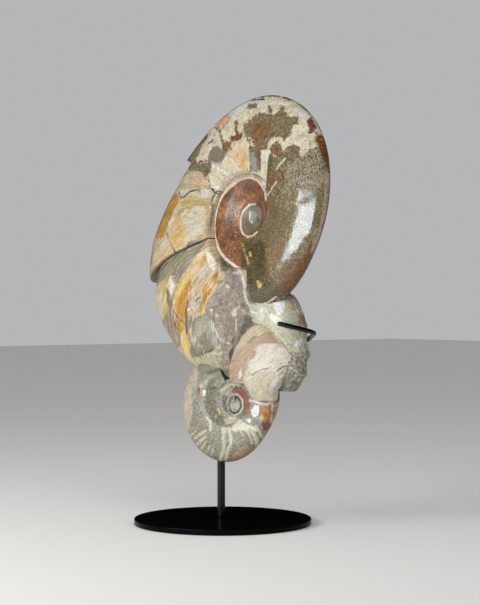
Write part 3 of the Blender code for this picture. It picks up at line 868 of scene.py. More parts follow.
UPPER_MARKS = (
    Mark("pink", ((190, 172, 144), (178, 159, 130)), 2, 1.5,
        area((180, 190), (190, 172), (198, 172), (209, 175), (210, 187), (198, 188), (186, 190))),
    Mark("peach", ((214, 178, 140), (208, 172, 134)), 1.2, 1.5,
        area((199, 177), (205, 177), (207, 184), (199, 185)),
        area((153, 262), (160, 250), (167, 248), (168, 254), (160, 264), (154, 270))),
    Mark("strip", ((124, 121, 100), (113, 112, 92)), 1.2, 0.6,
        area((186, 164), (191, 160), (205, 162), (213, 162), (211, 173), (206, 175), (199, 172),
            (190, 171))),
    Mark("pale_blue", ((174, 175, 161), (194, 191, 175)), 1.5, 1,
        area((179, 190), (186, 189), (194, 189), (200, 190), (213, 190), (215, 196), (206, 197),
            (196, 193), (190, 194), (184, 198), (179, 197))),
    Mark("olive", ((160, 146, 88), (180, 160, 102)), 1.8, 1.2,
        area((181, 203), (186, 199), (194, 195), (200, 198), (208, 199), (212, 201), (210, 205),
            (200, 206), (192, 206), (186, 210), (181, 213)),
        stroke(1.8, (182, 217), (188, 212), (194, 209)),
        stroke(1.8, (175, 224), (179, 220), (185, 217)),
        stroke(1.2, (190, 188.5), (196, 187), (208, 187))),
    Mark("ochre", ((178, 126, 38), (160, 126, 58)), 1.8, 1.2,
        area((148, 245), (150, 238), (156, 224), (162, 212), (169, 200), (175, 192), (179, 197),
            (177, 206), (174, 212), (170, 220), (167, 228), (163, 236), (157, 238), (153, 242))),
    Mark("straw", ((208, 170, 108), (200, 172, 118)), 1.8, 1.5,
        area((173, 225), (176, 216), (181, 219), (184, 229), (188, 232), (187, 240), (182, 247),
            (176, 250), (170, 246), (169, 239), (172, 232))),
    Mark("white", ((206, 197, 176), (190, 180, 156)), 1.8, 1.2,
        area((192, 208), (203, 206), (207, 212), (205, 225), (201, 233), (196, 236), (188, 241),
            (185, 247), (183, 241), (189, 232), (184, 226), (183, 221), (188, 215)),
        area((181, 215), (186, 209), (188, 210), (184, 216), (181, 219)),
        area((159, 270), (163, 261), (170, 257), (176, 253), (178, 257), (171, 263), (165, 269)),
        stroke(2.6, (176, 209), (174, 216), (170, 224), (169, 232), (166, 240), (163, 248), (158, 256),
            (156, 268))),
    Mark("tan_wall", ((188, 164, 128), (176, 150, 114)), 1, 1.2,
        area((206, 205), (211, 205), (213, 216), (210, 236), (208, 246), (203, 243), (205, 228))),
    Mark("grey_wall", ((126, 116, 102), (100, 94, 82)), 0.3, 0.6,
        stroke(2.4, (217, 193), (213, 197), (212, 203), (213, 210), (213, 216)),
        stroke(2.2, (212, 214), (211, 224), (212, 236), (215, 247), (221, 257), (228, 264))),
    Mark("speckled", ((150, 138, 126), (116, 106, 94)), 1.5, 0.8,
        area((178, 256), (184, 247), (190, 242), (196, 240), (203, 241), (206, 244), (198, 247),
            (190, 250))),
    Mark("cracks", ((50, 44, 38), (78, 66, 54)), 0.4, 0.5,
        stroke(1.3, (207, 170), (208, 178), (210, 186), (214, 192), (219, 194)),
        stroke(1.3, (179, 191), (180, 196), (182, 198)),
        stroke(1.5, (184, 197), (190, 192), (194, 190), (199, 190), (200, 192)),
        stroke(1.2, (167, 233), (168, 238)),
        stroke(1.1, (168, 239), (172, 246), (176, 254))),
)
LOWER_MARKS = (
    Mark("rim_cream", ((202, 190, 162), (190, 176, 146)), 1.5, 1.2,
        area((148, 290), (160, 283), (163, 280), (164, 290), (163, 300), (165, 312), (163, 323),
            (152, 318))),
    Mark("rim_ochre", ((200, 162, 78), (214, 182, 106)), 1.2, 0.9,
        area((162, 284), (167, 276), (169, 278), (165, 286), (165, 296), (167, 305), (166, 315),
            (163, 319), (164, 305), (162, 292))),
    Mark("straw", ((206, 176, 92), (218, 190, 116)), 2, 1.5,
        area((175, 290), (182, 279), (190, 268), (195, 260), (194, 268), (190, 280), (184, 290),
            (178, 301), (174, 303)),
        area((184, 330), (187, 334), (190, 345), (190, 353), (186, 352), (181, 346), (182, 336)),
        area((176, 348), (182, 351), (190, 358), (198, 367), (188, 364), (176, 352))),
    Mark("pale_orange", ((214, 172, 100), (220, 186, 126)), 1.8, 1.5,
        area((190, 271), (194, 262), (198, 254), (203, 252), (200, 262), (196, 270), (189, 280))),
    Mark("orange", ((184, 124, 10), (200, 146, 34)), 1.6, 0.9,
        area((184, 287), (190, 279), (192, 284), (190, 296), (187, 304), (185, 314), (184, 322),
            (184, 330), (181, 334), (177, 330), (176, 322), (180, 319), (177, 312), (175, 305), (178, 297)),
        area((202, 285), (206, 283), (209, 286), (213, 288), (214, 291), (208, 296), (205, 302),
            (204, 310), (200, 314), (198, 310), (201, 304), (202, 295)),
        area((211, 284), (214, 275), (217, 271), (220, 274), (217, 281), (215, 287), (213, 291)),
        area((202, 267), (204, 257), (207, 254), (208, 258), (205, 264))),
    Mark("lilac", ((206, 192, 178), (188, 172, 158)), 1.5, 1,
        area((205, 262), (209, 263), (208, 270), (203, 276), (200, 281), (198, 276)),
        area((193, 286), (198, 282), (197, 292), (192, 296)),
        area((192, 300), (200, 293), (200, 300), (194, 308), (188, 310))),
    Mark("white", ((226, 219, 202), (214, 205, 184)), 1.2, 0.7,
        area((169, 277), (172, 274), (174, 282), (174, 292), (171, 300), (169, 290), (168, 282)),
        area((205, 251), (210, 252), (217, 262), (219, 268), (213, 272), (208, 266)),
        stroke(1.4, (176, 285), (184, 274), (190, 265), (194, 257)),
        stroke(2.0, (188, 310), (193, 307), (195, 314), (199, 304)),
        stroke(1.4, (189, 292), (188, 300), (186, 306))),
    Mark("mauve", ((134, 112, 92), (154, 132, 112)), 1.5, 0.9,
        area((166, 287), (168, 290), (170, 296), (173, 304), (174, 314), (175, 322), (178, 330),
            (181, 338), (181, 346), (176, 350), (168, 340), (162, 330), (162, 321), (165, 316), (168, 312),
            (168, 304), (166, 297)),
        area((186, 316), (192, 314), (192, 322), (190, 330), (192, 346), (189, 343), (187, 330),
            (185, 322))),
    Mark("sunk", ((138, 136, 110), (122, 118, 95)), 1.4, 0.7,
        area((150, 286), (156, 274), (162, 264), (170, 256), (180, 248), (192, 242), (207, 238),
            (201, 250), (195, 256), (191, 262), (187, 268), (182, 276), (178, 282), (175, 284), (174, 276),
            (170, 272), (165, 277), (158, 284), (150, 291))),
    Mark("sunk_mauve", ((148, 132, 117), (134, 121, 108)), 1.4, 1.5,
        area((152, 288), (162, 278), (170, 270), (179, 271), (181, 276), (176, 282), (173, 274),
            (166, 277), (158, 285))),
    Mark("step_shade", ((72, 65, 48), (94, 86, 66)), 0.8, 1,
        stroke(1.8, (156, 281), (160, 271), (168, 262.5), (179, 253.5), (190, 247.5), (202, 241))),
    Mark("moss", ((112, 110, 88), (130, 127, 104)), 1.6, 1,
        area((192, 325), (194, 318), (200, 315), (207, 313), (214, 322), (216, 329), (220, 338),
            (222, 345), (214, 351), (202, 356), (192, 358), (190, 352), (192, 340))),
    Mark("moss_pale", ((172, 172, 152), (160, 158, 138)), 2, 2.5,
        area((196, 321), (203, 318), (206, 329), (199, 339), (194, 334))),
    Mark("lip", ((168, 164, 136), (184, 178, 148)), 1.4, 0.8,
        area((190, 361), (202, 357), (212, 352), (220, 347), (226, 352), (221, 365), (214, 375),
            (203, 376), (193, 371))),
    Mark("lip_edge", ((208, 198, 154), (196, 185, 142)), 0.6, 0.6,
        stroke(1.6, (190, 358), (197, 366), (204, 370), (212, 369.5), (219, 365))),
    Mark("infill", None, 1.4, 0.9,
        area((208, 300), (212, 294), (216, 291), (221, 288), (224, 283), (224, 272), (219, 266),
            (222, 261), (232, 266), (242, 270), (250, 290), (256, 310), (256, 330), (240, 350), (230, 364),
            (221, 366), (223, 352), (220, 342), (216, 330), (213, 320), (206, 314), (205, 308))),
    Mark("infill_mauve", ((148, 132, 128), (134, 118, 112)), 1.8, 1.5,
        area((230, 272), (238, 274), (242, 284), (246, 306), (240, 308), (238, 296), (232, 284))),
    Mark("infill_olive", ((124, 119, 80), (108, 104, 76)), 1.4, 0.9,
        area((214, 289), (218, 281), (224, 279), (222, 286), (216, 292)),
        area((219, 266), (223, 262), (230, 266), (228, 271), (221, 272))),
    CHIPS,
    SEAM_FOOT,
    Mark("fissures", ((66, 52, 41), (84, 68, 54)), 0.4, 0.5,
        stroke(1.2, (174, 311), (178, 318), (183, 322)),
        stroke(1.3, (188, 300), (186, 310), (186, 322), (187, 334)),
        stroke(1.4, (200, 297), (196, 301)),
        stroke(1.5, (167, 288), (167, 294)),
        stroke(1.3, (168, 300), (169, 305)),
        stroke(1.3, (192, 356), (202, 354), (212, 350)),
        stroke(1.2, (174, 321), (177, 329))),
)
SMALL_MARKS = (
    Mark("rim", ((187, 174, 152), (175, 160, 140)), 1.2, 1,
        area((178, 440), (178, 400), (182, 376), (190, 358), (198, 358), (199, 370), (197, 380),
            (195, 393), (192, 405), (192, 415), (190, 425), (187, 432))),
    Mark("grey_blue", ((152, 154, 145), (140, 142, 134)), 1.2, 1,
        area((192, 386), (196, 383), (197, 395), (193, 405), (191, 398))),
    Mark("top_olive", ((124, 120, 99), (140, 135, 113)), 2, 1.5,
        area((198, 366), (208, 366), (218, 362), (228, 362), (228, 374), (222, 380), (216, 388),
            (208, 384), (200, 384))),
    Mark("shade", ((84, 76, 62), (106, 97, 79)), 1.3, 1,
        area((209, 371), (220, 367), (227, 371), (224, 377), (214, 376), (207, 374)),
        stroke(2.2, (212, 389), (221, 387.5), (227, 382), (234, 380.5), (240, 383))),
    Mark("ridge", ((186, 181, 159), (162, 158, 137)), 1, 0.8,
        area((219, 391), (224, 387), (230, 384), (238, 384), (241, 387), (234, 388), (232, 392),
            (228, 396), (222, 394))),
    Mark("red_ring", ((124, 70, 53), (150, 96, 76)), 1, 0.6,
        area((240, 386), (244, 390), (248, 396), (250, 404), (250, 412), (248, 417), (244, 414),
            (242, 405), (240, 397), (236, 393), (232, 393), (233, 389), (237, 388))),
    Mark("hub", ((78, 68, 58), (106, 96, 84)), 0.6, 0.5,
        area((226, 404), (228, 397), (232, 394), (237, 394), (241, 398), (243, 405), (241, 411),
            (237, 415), (231, 415), (227, 410))),
    Mark("hub_eye", ((154, 159, 146), (142, 148, 134)), 0.4, 0.7,
        area((232, 406), (233.5, 402), (237, 402), (238.5, 405), (236.5, 409), (233, 409))),
    Mark("pale", ((210, 204, 182), (194, 188, 165)), 1.2, 0.8,
        area((224, 419), (230, 417), (236, 417), (238, 419), (233, 423), (226, 424)),
        area((231, 429), (236, 422), (240, 418), (243, 422), (248, 425), (255, 427), (257, 431),
            (248, 431), (240, 430), (236, 432)),
        stroke(1.5, (206, 417), (209, 420), (211, 425), (210, 430)),
        stroke(1.5, (215, 385), (217, 381)),
        stroke(2.0, (216, 417), (216, 415.5)),
        stroke(1.4, (190, 436), (196, 431))),
    Mark("ribs", ((194, 187, 165), (178, 171, 148)), 0.7, 0.6,
        stroke(3.4, (223, 429), (223.5, 438), (224, 447), (222, 454), (220, 460)),
        stroke(3.0, (223, 428.5), (230, 429)),
        stroke(2.9, (229, 429), (231, 437), (231, 444), (227, 452), (226, 460)),
        stroke(1.5, (241, 431), (243, 436), (245, 439)),
        stroke(2.1, (247, 431), (250, 437), (252, 443)),
        stroke(3.6, (250, 429), (255, 436), (257, 443), (257, 446)),
        stroke(2.3, (256, 426), (260, 433), (262, 437)),
        stroke(2.7, (205, 431), (195, 438)),
        stroke(2.7, (205, 437), (197, 444)),
        stroke(1.9, (207, 441), (201, 449)),
        stroke(1.8, (210, 446), (206, 453)),
        stroke(1.5, (213, 449), (211, 455))),
    Mark("pink_ribs", ((202, 158, 140), (188, 150, 132)), 0.4, 0.6,
        stroke(1.2, (186, 428.5), (198, 428)),
        stroke(1.1, (186, 431), (196, 431))),
    Mark("foot_brown", ((150, 127, 98), (168, 140, 113)), 2, 1.2,
        area((231, 458), (238, 451), (246, 447), (255, 449), (260, 450), (252, 460), (240, 466),
            (230, 466)),
        area((258, 447), (264, 440), (268, 433), (274, 436), (262, 454))),
    Mark("foot_green", ((138, 138, 96), (116, 118, 84)), 1.5, 1.2,
        stroke(3.0, (194, 447), (205, 458), (215, 463), (226, 466), (232, 465))),
    Mark("frame", ((216, 200, 185), (200, 180, 163)), 0.8, 0.7,
        stroke(1.9, (275, 397), (272.5, 403), (272, 410), (271, 417), (272, 424)),
        stroke(2.6, (250, 400), (258, 402.5), (266, 404.5), (273, 401))),
    # Painted highlights: white glints on the polished calcite.
    Mark("glint_and_calcite", ((238, 238, 236), (216, 218, 216)), 1, 0.6,
        area((251, 410), (255, 404), (259, 405), (259, 412), (258, 416), (254, 418), (251, 415)),
        area((246, 420), (249, 417), (252, 419), (250, 423), (247, 423)),
        area((202, 391), (206, 389), (206, 396), (203, 396))),
    Mark("amber", ((152, 80, 26), (178, 108, 40)), 1, 0.6,
        area((260, 408), (263, 406), (271, 406), (271.5, 414), (270, 420), (263, 421), (260, 416)),
        area((199, 393), (201, 394), (203, 400), (201, 403), (199, 399))),
    Mark("yellow", ((208, 186, 82), (188, 176, 104)), 0.8, 0.7,
        area((259, 418), (261, 415), (264, 417), (263, 420), (260, 421)),
        area((217, 409), (219, 407), (221, 413), (219, 416)),
        area((200, 384), (204, 384), (200, 389))),
    Mark("dark_red", ((98, 42, 26), (136, 68, 40)), 1.2, 0.7,
        area((262, 423), (268, 420), (270.5, 425), (268, 431), (263, 430)),
        area((198, 388), (200, 388), (200, 393), (198, 394)),
        stroke(1.6, (273.5, 413), (275, 418))),
    Mark("venter", ((182, 153, 137), (160, 127, 110)), 1, 0.8,
        area((274, 404), (276, 400), (282, 396), (294, 390), (290, 404), (282, 420), (274, 430),
            (272, 425), (274.5, 412))),
    Mark("beads", ((50, 41, 38), (68, 55, 49)), 0.3, 0.5,
        stroke(1.5, (228.8, 400), (229.2, 401)),
        stroke(1.5, (228.3, 405), (228.5, 406)),
        stroke(1.5, (229.6, 410), (230.2, 411)),
        stroke(1.5, (233.5, 413.4), (234.5, 413.6)),
        stroke(1.5, (238.5, 412), (239.3, 411.3)),
        stroke(1.6, (241, 406.5), (241.2, 405.5)),
        stroke(1.5, (240, 400), (239.6, 399.3)),
        stroke(1.5, (236.6, 397), (235.8, 396.8)),
        stroke(1.4, (232, 397.4), (231.4, 397.9)),
        stroke(1.7, (236, 386), (236.6, 387)),
        stroke(1.7, (240.5, 387), (241, 388)),
        stroke(1.7, (232, 387), (231.4, 387.6))),
    Mark("hub_rings", ((194, 185, 168), (178, 168, 152)), 0.2, 0.6,
        stroke(1.2, (226.5, 404), (228.5, 397.5), (233, 394.5), (238, 395), (242, 400), (243, 407),
            (240, 413), (234, 415.5), (229, 412), (226.5, 404)),
        stroke(1.0, (231, 405), (232.5, 401), (235.5, 400), (239, 403), (239, 407), (236, 411),
            (232.5, 410), (231, 405))),
    # Painted shadow under the loose piece's overhanging edge.
    Mark("pocket_shadow", ((52, 40, 34), (74, 58, 48)), 0.9, 0.7,
        area((274, 401), (276, 396.5), (284, 392), (290, 390), (282, 397.5), (277, 401)),
        area((250, 398), (260, 399), (272, 396), (268, 400), (258, 401))),
)
ROCK_MARKS = (
    Mark("lobe", ((188, 186, 158), (204, 199, 173)), 1.8, 1.2,
        area((246, 304), (262, 303), (272, 300), (283, 292), (292, 284), (300, 296), (308, 312),
            (312, 330), (308, 340), (310, 350), (300, 353), (290, 353), (284, 350), (280, 345), (276, 335),
            (268, 328), (262, 325), (252, 322))),
    Mark("lobe_tan", ((204, 192, 168), (190, 178, 152)), 1.6, 1.2,
        area((284, 296), (290, 287), (298, 296), (301, 306), (290, 305)),
        area((302, 310), (307, 314), (308, 328), (304, 326))),
    Mark("lobe_pale", ((186, 192, 172), (200, 202, 182)), 2, 1.5,
        area((250, 308), (262, 306), (266, 314), (262, 322), (252, 318)),
        area((288, 312), (294, 314), (294, 324), (288, 322))),
    Mark("infill", None, 1.4, 0.9,
        area((222, 268), (244, 268), (247, 304), (251, 312), (249, 322), (240, 334), (232, 346),
            (228, 356), (218, 352), (216, 330), (220, 300))),
    # Painted shade below the large shell's lower corner and in the pocket beside the loose piece.
    Mark("dark", ((88, 82, 70), (116, 108, 96)), 1.8, 1,
        area((246, 312), (252, 318), (253, 325), (243, 334), (238, 341), (239, 330), (244, 322)),
        area((275, 393), (284, 389), (294, 392), (286, 400), (274, 402))),
    Mark("recess", ((112, 108, 90), (134, 129, 108)), 2, 1.2,
        area((190, 374), (204, 369), (214, 371), (221, 364), (228, 350), (232, 356), (229, 372),
            (227, 382), (215, 392), (200, 394), (190, 384))),
    Mark("broken", None, 2, 1.2,
        area((291, 353), (312, 350), (314, 365), (306, 384), (290, 400), (281, 396), (275, 388),
            (277, 378), (285, 369), (291, 361))),
    Mark("lavender", ((168, 159, 148), (138, 130, 118)), 1.8, 1,
        area((278, 378), (283, 372), (290, 373), (296, 382), (290, 392), (281, 388))),
    Mark("pink", ((178, 131, 117), (160, 119, 104)), 1.6, 1,
        area((298, 314), (303, 313), (306, 319), (303, 325), (299, 323))),
    # Small white calcite flecks, and two painted reflections of the softbox on the polished lobe.
    Mark("glint_and_calcite", ((240, 238, 238), (222, 216, 222)), 0.7, 0.6,
        area((273, 304), (279, 298), (284, 297), (285, 307), (282, 315), (278, 315), (275, 310)),
        area((294, 346), (297, 340), (303, 338), (303, 342), (299, 347)),
        area((259, 313), (262, 307), (264, 307), (261, 314)),
        area((268, 317), (272, 313), (274, 316), (270, 318)),
        stroke(1.3, (271, 318), (276, 323)),
        stroke(1.1, (266, 309), (268, 315)),
        stroke(1.1, (250, 311), (257, 314))),
    CHIPS,
    SEAM_FOOT,
)
PIECE_MARKS = (
    Mark("tan_edge", ((198, 182, 153), (184, 167, 137)), 1.5, 1.2,
        area((224, 350), (236, 336), (250, 322), (264, 322), (268, 329), (258, 335), (250, 342),
            (240, 350), (235, 362), (226, 366))),
    Mark("pink", ((178, 151, 124), (166, 139, 113)), 2, 1.5,
        area((262, 334), (268, 330), (275, 336), (278, 344), (268, 344), (260, 345), (256, 350),
            (256, 357), (248, 362), (246, 372), (243, 381), (232, 381), (229, 374), (233, 360), (238, 350),
            (248, 340))),
    Mark("white", ((212, 202, 188), (222, 213, 200)), 2, 1.2,
        area((257, 347), (264, 344), (277, 344), (285, 349), (292, 358), (292, 364), (284, 368),
            (278, 375), (270, 374), (258, 374), (248, 370), (250, 362), (257, 357)),
        area((238, 374), (241, 370), (243, 376), (239, 379))),
    Mark("straw", ((210, 201, 177), (194, 186, 160)), 2, 1.5,
        area((243, 382), (250, 374), (262, 370), (277, 371), (273, 380), (273, 392), (266, 400),
            (252, 400), (245, 391))),
    Mark("chalk", ((228, 224, 216), (212, 206, 197)), 1.2, 0.8,
        area((268, 388), (272, 382), (277, 376), (281, 378), (275, 388), (271, 394))),
    Mark("cracks", ((112, 98, 82), (136, 120, 102)), 0.4, 0.5,
        stroke(1.1, (252, 375), (260, 370), (268, 368)),
        stroke(1.1, (248, 343), (255, 337)),
        stroke(1.0, (230, 360.5), (236, 360.5)),
        stroke(1.1, (277, 371), (283, 366.5), (289, 366))),
)


def layered(paint, colour, marks, edge, grain, own=None):
    """The marks painted over a colour, each in two tones that follow the grain or in a look of its own.

    A hard and ragged border also gets a thin dark line."""
    blend = paint.step(grain, 0.42, 0.58)
    for each in marks:
        fill = paint.mix(blend, *each.tones) if each.tones else own[each.name]
        away = paint.distance(each.name, each.ragged, edge)
        colour = paint.veil(colour, fill, away, -each.soft, each.soft, 1.0, 0.0)
        if each.soft < 0.8 and each.ragged > 0.8:
            colour = paint.veil(colour, (66, 58, 42), paint.maths("ABSOLUTE", away), 0.2, 0.9, 0.38, 0.0)
    return colour


def weathered(paint, colour, dark, pale, cracks=0.38):
    """Fine dark pits, pale flecks, a few hairline cracks and soft clouds over a colour."""
    pits = paint.noise(1.5, 5.0, 0.7)
    colour = paint.veil(colour, (64, 56, 42), pits, 0.3, 0.52, dark, 0.0)
    colour = paint.veil(colour, (232, 226, 208), pits, 0.54, 0.72, 0.0, pale)
    clouds = paint.noise(13.0, 4.0, 0.6)
    colour = paint.veil(colour, (112, 100, 78), clouds, 0.35, 0.65, 0.0, 0.16)
    hairs = paint.step(paint.cracks(12.0, 5.0, 2.5), 0.008, 0.04, cracks, 0.0)
    return paint.mix(paint.scaled(hairs, paint.step(clouds, 0.44, 0.56)), colour, (74, 64, 50))


def dulling(paint, size, low, high):
    """A roughness that wanders between two values."""
    return paint.step(paint.noise(size, 4.0), 0.35, 0.75, low, high)


def amber_stone(paint):
    """Crackled amber calcite, plain and with more pale flecks."""
    amber = paint.ramp(paint.noise(8.0, 5.0, 0.65, 0.4), (0.34, (60, 24, 4)), (0.44, (98, 43, 2)),
                       (0.54, (144, 75, 6)), (0.66, (184, 118, 34)))
    amber = paint.veil(amber, (118, 86, 50), paint.noise(6.5, 4.0, 0.6), 0.5, 0.7, 0.0, 0.3)
    amber = paint.veil(amber, (60, 32, 18), paint.cracks(2.6, 3.0, 1.2), 0.01, 0.12, 0.55, 0.0)
    fleck = paint.noise(1.6, 4.0, 0.7)
    amber = paint.veil(amber, (196, 150, 98), fleck, 0.59, 0.65, 0.0, 0.55)
    return amber, paint.veil(amber, (192, 164, 126), fleck, 0.53, 0.6)


def disc_look():
    """Polished calcite: a speckled flank, cream shell with olive patches, and a crackled amber heart."""
    paint = Paint("polished_shell", 0.12, 1.5)
    fine = paint.noise(1.5, 4.0, 0.6)
    edge = paint.noise(4.0, 6.0, 0.68)
    grain = paint.noise(6.0, 6.0, 0.7)
    speckle = paint.scaled(paint.maths("SUBTRACT", paint.noise(24.0, 2.0), 0.5), 0.3, fine)
    speckled = paint.ramp(speckle, (0.34, (70, 60, 40)), (0.44, (98, 87, 61)), (0.54, (126, 112, 83)),
                          (0.68, (174, 160, 131)))
    amber, flecked = amber_stone(paint)
    rust = paint.veil((84, 44, 6), (130, 76, 18), paint.noise(3.0, 5.0, 0.7), 0.42, 0.58)
    stains = paint.noise(5.5, 6.0, 0.75)
    cream = paint.veil((212, 203, 182), (190, 180, 152), grain, 0.42, 0.58)
    cream = paint.veil(cream, (116, 105, 78), stains, 0.585, 0.62, 0.0, 0.75)
    own = {
        "net": paint.veil((66, 60, 46), (166, 155, 130), paint.noise(1.15, 3.0, 0.5, 0.4), 0.42, 0.54),
        "amber": amber,
        "amber_flecks": flecked,
        "olive": paint.ramp(paint.noise(3.4, 6.0, 0.72), (0.34, (70, 66, 48)), (0.46, (104, 96, 72)),
                            (0.56, (128, 116, 88)), (0.68, (150, 140, 112))),
        "rust": paint.veil(rust, (84, 68, 34), fine, 0.42, 0.56, 0.75, 0.0),
        "cream": paint.veil(cream, (170, 158, 130), stains, 0.36, 0.41, 0.5, 0.0),
        "flank_pink": paint.mix(0.55, speckled, (126, 103, 80)),
        "flank_dark": paint.mix(0.7, speckled, (54, 47, 22)),
        "flank_olive": paint.mix(0.55, speckled, (100, 88, 60)),
    }
    colour = weathered(paint, layered(paint, speckled, DISC_MARKS, edge, grain, own), 0.58, 0.14)
    paint.relief(fine, 0.015)
    dull = paint.scaled(paint.mask("amber", 1.0, 0.5, edge), 0.3, dulling(paint, 9.0, 0.1, 0.24))
    return paint.finish(colour, dull)


def growth_bands(paint, dark, mid, pale):
    """Three tones from noise drawn out along the growth lines, with that noise and a border noise."""
    bands = paint.noise(4.5, 6.0, 0.68, 0.4, paint.drawn_out("along", "across"))
    edge = paint.scaled(bands, 0.5, paint.scaled(paint.noise(5.0, 6.0, 0.68), 0.5))
    return bands, edge, paint.ramp(bands, (0.36, dark), (0.5, mid), (0.64, pale))


def streaked(paint, colour, amount):
    """Fine pale and tan streaks along the growth lines, over a colour."""
    fine = paint.noise(1.9, 4.0, 0.6, 0.5, paint.drawn_out("along", "across"))
    pale = paint.scaled(paint.step(fine, 0.53, 0.64), amount)
    colour = paint.mix(pale, colour, (226, 216, 194))
    brown = paint.scaled(paint.step(fine, 0.36, 0.46, 1.0, 0.0), amount)
    return paint.mix(brown, colour, (142, 112, 66))


def broken_stone(paint):
    """The dull grey-brown rock that shows where the shell is gone."""
    stone = paint.ramp(paint.noise(5.0, 6.0, 0.68), (0.3, (100, 89, 76)), (0.46, (138, 127, 110)),
                       (0.58, (158, 147, 131)), (0.72, (184, 173, 157)))
    chips = paint.cracks(8.0, 6.0, 3.0)
    stone = paint.veil(stone, (206, 196, 180), chips, 0.05, 0.1, 0.45, 0.0)
    return paint.veil(stone, (84, 74, 62), chips, 0.01, 0.05, 0.6, 0.0)


def upper_look():
    """Cream and ochre shell, banded along the whorl, with painted shadow on its broken end."""
    paint = Paint("pale_shell", 0.14, 1.5)
    bands, edge, base = growth_bands(paint, (162, 138, 98), (188, 170, 134), (208, 196, 170))
    colour = streaked(paint, layered(paint, base, UPPER_MARKS, edge, bands), 0.4)
    colour = weathered(paint, colour, 0.46, 0.2)
    # Painted shadow on the broken end wall, strongest at its back edge.
    colour = paint.veil(colour, (70, 62, 46), paint.field("end_shadow"), 0.02, 0.09, 0.0, 0.8)
    paint.relief(paint.noise(1.4, 3.0), 0.04)
    return paint.finish(colour, dulling(paint, 8.0, 0.16, 0.34))


def lower_look():
    """Orange-streaked shell, with rough rock where it is broken open."""
    paint = Paint("streaked_shell", 0.16, 1.55)
    bands, edge, base = growth_bands(paint, (170, 138, 88), (194, 170, 128), (214, 198, 168))
    bare = paint.mask("infill", 1.8, 0.9, edge)
    colour = layered(paint, base, LOWER_MARKS, edge, bands, {"infill": broken_stone(paint)})
    colour = streaked(paint, colour, paint.scaled(bare, -0.5, 0.5))
    colour = weathered(paint, colour, 0.5, 0.2)
    paint.relief(paint.noise(1.5, 4.0), 0.05)
    paint.relief(paint.scaled(bare, paint.noise(2.6, 5.0, 0.65)), 0.8)
    return paint.finish(colour, paint.scaled(bare, 0.35, 0.42))


def small_look():
    """Polished grey-green calcite with pale ribs."""
    paint = Paint("green_calcite", 0.14, 1.55)
    fine = paint.noise(1.5, 5.0, 0.68)
    edge = paint.noise(3.0, 6.0, 0.68)
    grain = paint.noise(4.0, 6.0, 0.7)
    base = paint.ramp(fine, (0.33, (86, 83, 66)), (0.46, (120, 116, 96)), (0.56, (142, 138, 118)),
                      (0.7, (180, 174, 153)))
    colour = weathered(paint, layered(paint, base, SMALL_MARKS, edge, grain), 0.4, 0.2)
    paint.relief(fine, 0.03)
    return paint.finish(colour, dulling(paint, 6.0, 0.42, 0.6))


def rock_look():
    """Rough grey limestone, green where it is polished."""
    paint = Paint("grey_rock", 0.6, 1.55)
    edge = paint.noise(4.0, 6.0, 0.68)
    grain = paint.noise(4.5, 6.0, 0.7)
    base = paint.ramp(grain, (0.32, (96, 90, 78)), (0.48, (134, 126, 112)), (0.62, (164, 154, 139)))
    chunks = paint.noise(3.2, 6.0, 0.75)
    own = {
        "infill": broken_stone(paint),
        "broken": paint.ramp(chunks, (0.36, (76, 68, 56)), (0.45, (144, 136, 122)),
                             (0.54, (188, 181, 168)), (0.63, (228, 223, 212))),
    }
    colour = weathered(paint, layered(paint, base, ROCK_MARKS, edge, grain, own), 0.55, 0.3)
    rough_part = paint.maths("SUBTRACT", 1.0, paint.field("polished"))
    paint.relief(paint.scaled(rough_part, chunks), 2.4)
    paint.relief(paint.noise(1.6, 5.0, 0.65), 0.04)
    return paint.finish(colour, paint.scaled(rough_part, 0.4, 0.34))


def piece_look():
    """Chalky cream shell with growth lines and a comb of fine ribs."""
    paint = Paint("cream_shell", 0.5)
    edge = paint.noise(5.0, 6.0, 0.68)
    rings = paint.noise(2.2, 5.0, 0.65, 0.0, paint.drawn_out("lines", "fan"))
    base = paint.ramp(rings, (0.36, (186, 170, 142)), (0.5, (208, 196, 172)), (0.62, (222, 213, 196)))
    colour = layered(paint, base, PIECE_MARKS, edge, rings)
    comb = paint.maths("SINE", paint.scaled(paint.field("fan"), 2.7))
    combed = paint.step(comb, 0.1, 1.0, 0.0, 0.35)
    ribbed = paint.scaled(paint.mask("straw", 2.0, 2.0, edge), combed)
    colour = weathered(paint, paint.mix(ribbed, colour, (150, 136, 108)), 0.45, 0.2, 0.15)
    paint.relief(rings, 0.12)
    paint.relief(paint.noise(1.5, 4.0), 0.08)
    return paint.finish(colour, paint.step(rings, 0.35, 0.65, 0.5, 0.66))


def black_look(name, ior):
    """Glossy black lacquer with a little dulling."""
    paint = Paint(name, 0.2, ior)
    return paint.finish((9, 9, 10), paint.step(paint.noise(0.6, 3.0), 0.3, 0.7, 0.16, 0.3))


def jag(radius):
    """The fine tooth of a broken edge, in millimetres along it."""
    return 0.5 * np.sin(radius * 0.9) + 0.35 * np.sin(radius * 2.3 + 1.0) + 0.2 * np.sin(radius * 5.1)


def crack_wander(radius):
    """How many degrees the crack strays from the end of the inner whorls, by radius."""
    return smooth(CRACK_WANDER, radius) + np.degrees(jag(radius) / radius)


def make_disc():
    """The inner whorls, on a sheet of two turns and a part."""
    near_seam = np.linspace(0, 0.1, 9)
    inner = np.concatenate([near_seam, np.linspace(0.1, 0.95, 17)[1:], [0.965, 0.98, 0.99, 1.0]])
    x, y, h, faces = coil(
        LARGE_SEAM, LARGE_TURN_GROWTH, LARGE_RIM, LARGE_SPAN, LARGE_HALF_DEPTH, turns=2, step=1.25,
        inner=inner, outer=rounded_rim(33), steep_from=20.0, wander=crack_wander)
    at = to_space(LARGE_PLANE, x, y, h)
    h = h + 0.25 * rough(at, 16.0, octaves=3, seed=1)
    points, faces = thicken(LARGE_PLANE, x, y, h, -h, faces)
    skin("polished_coil", points, faces, mark_fields(at, DISC_MARKS), disc_look(), "inner_whorls")


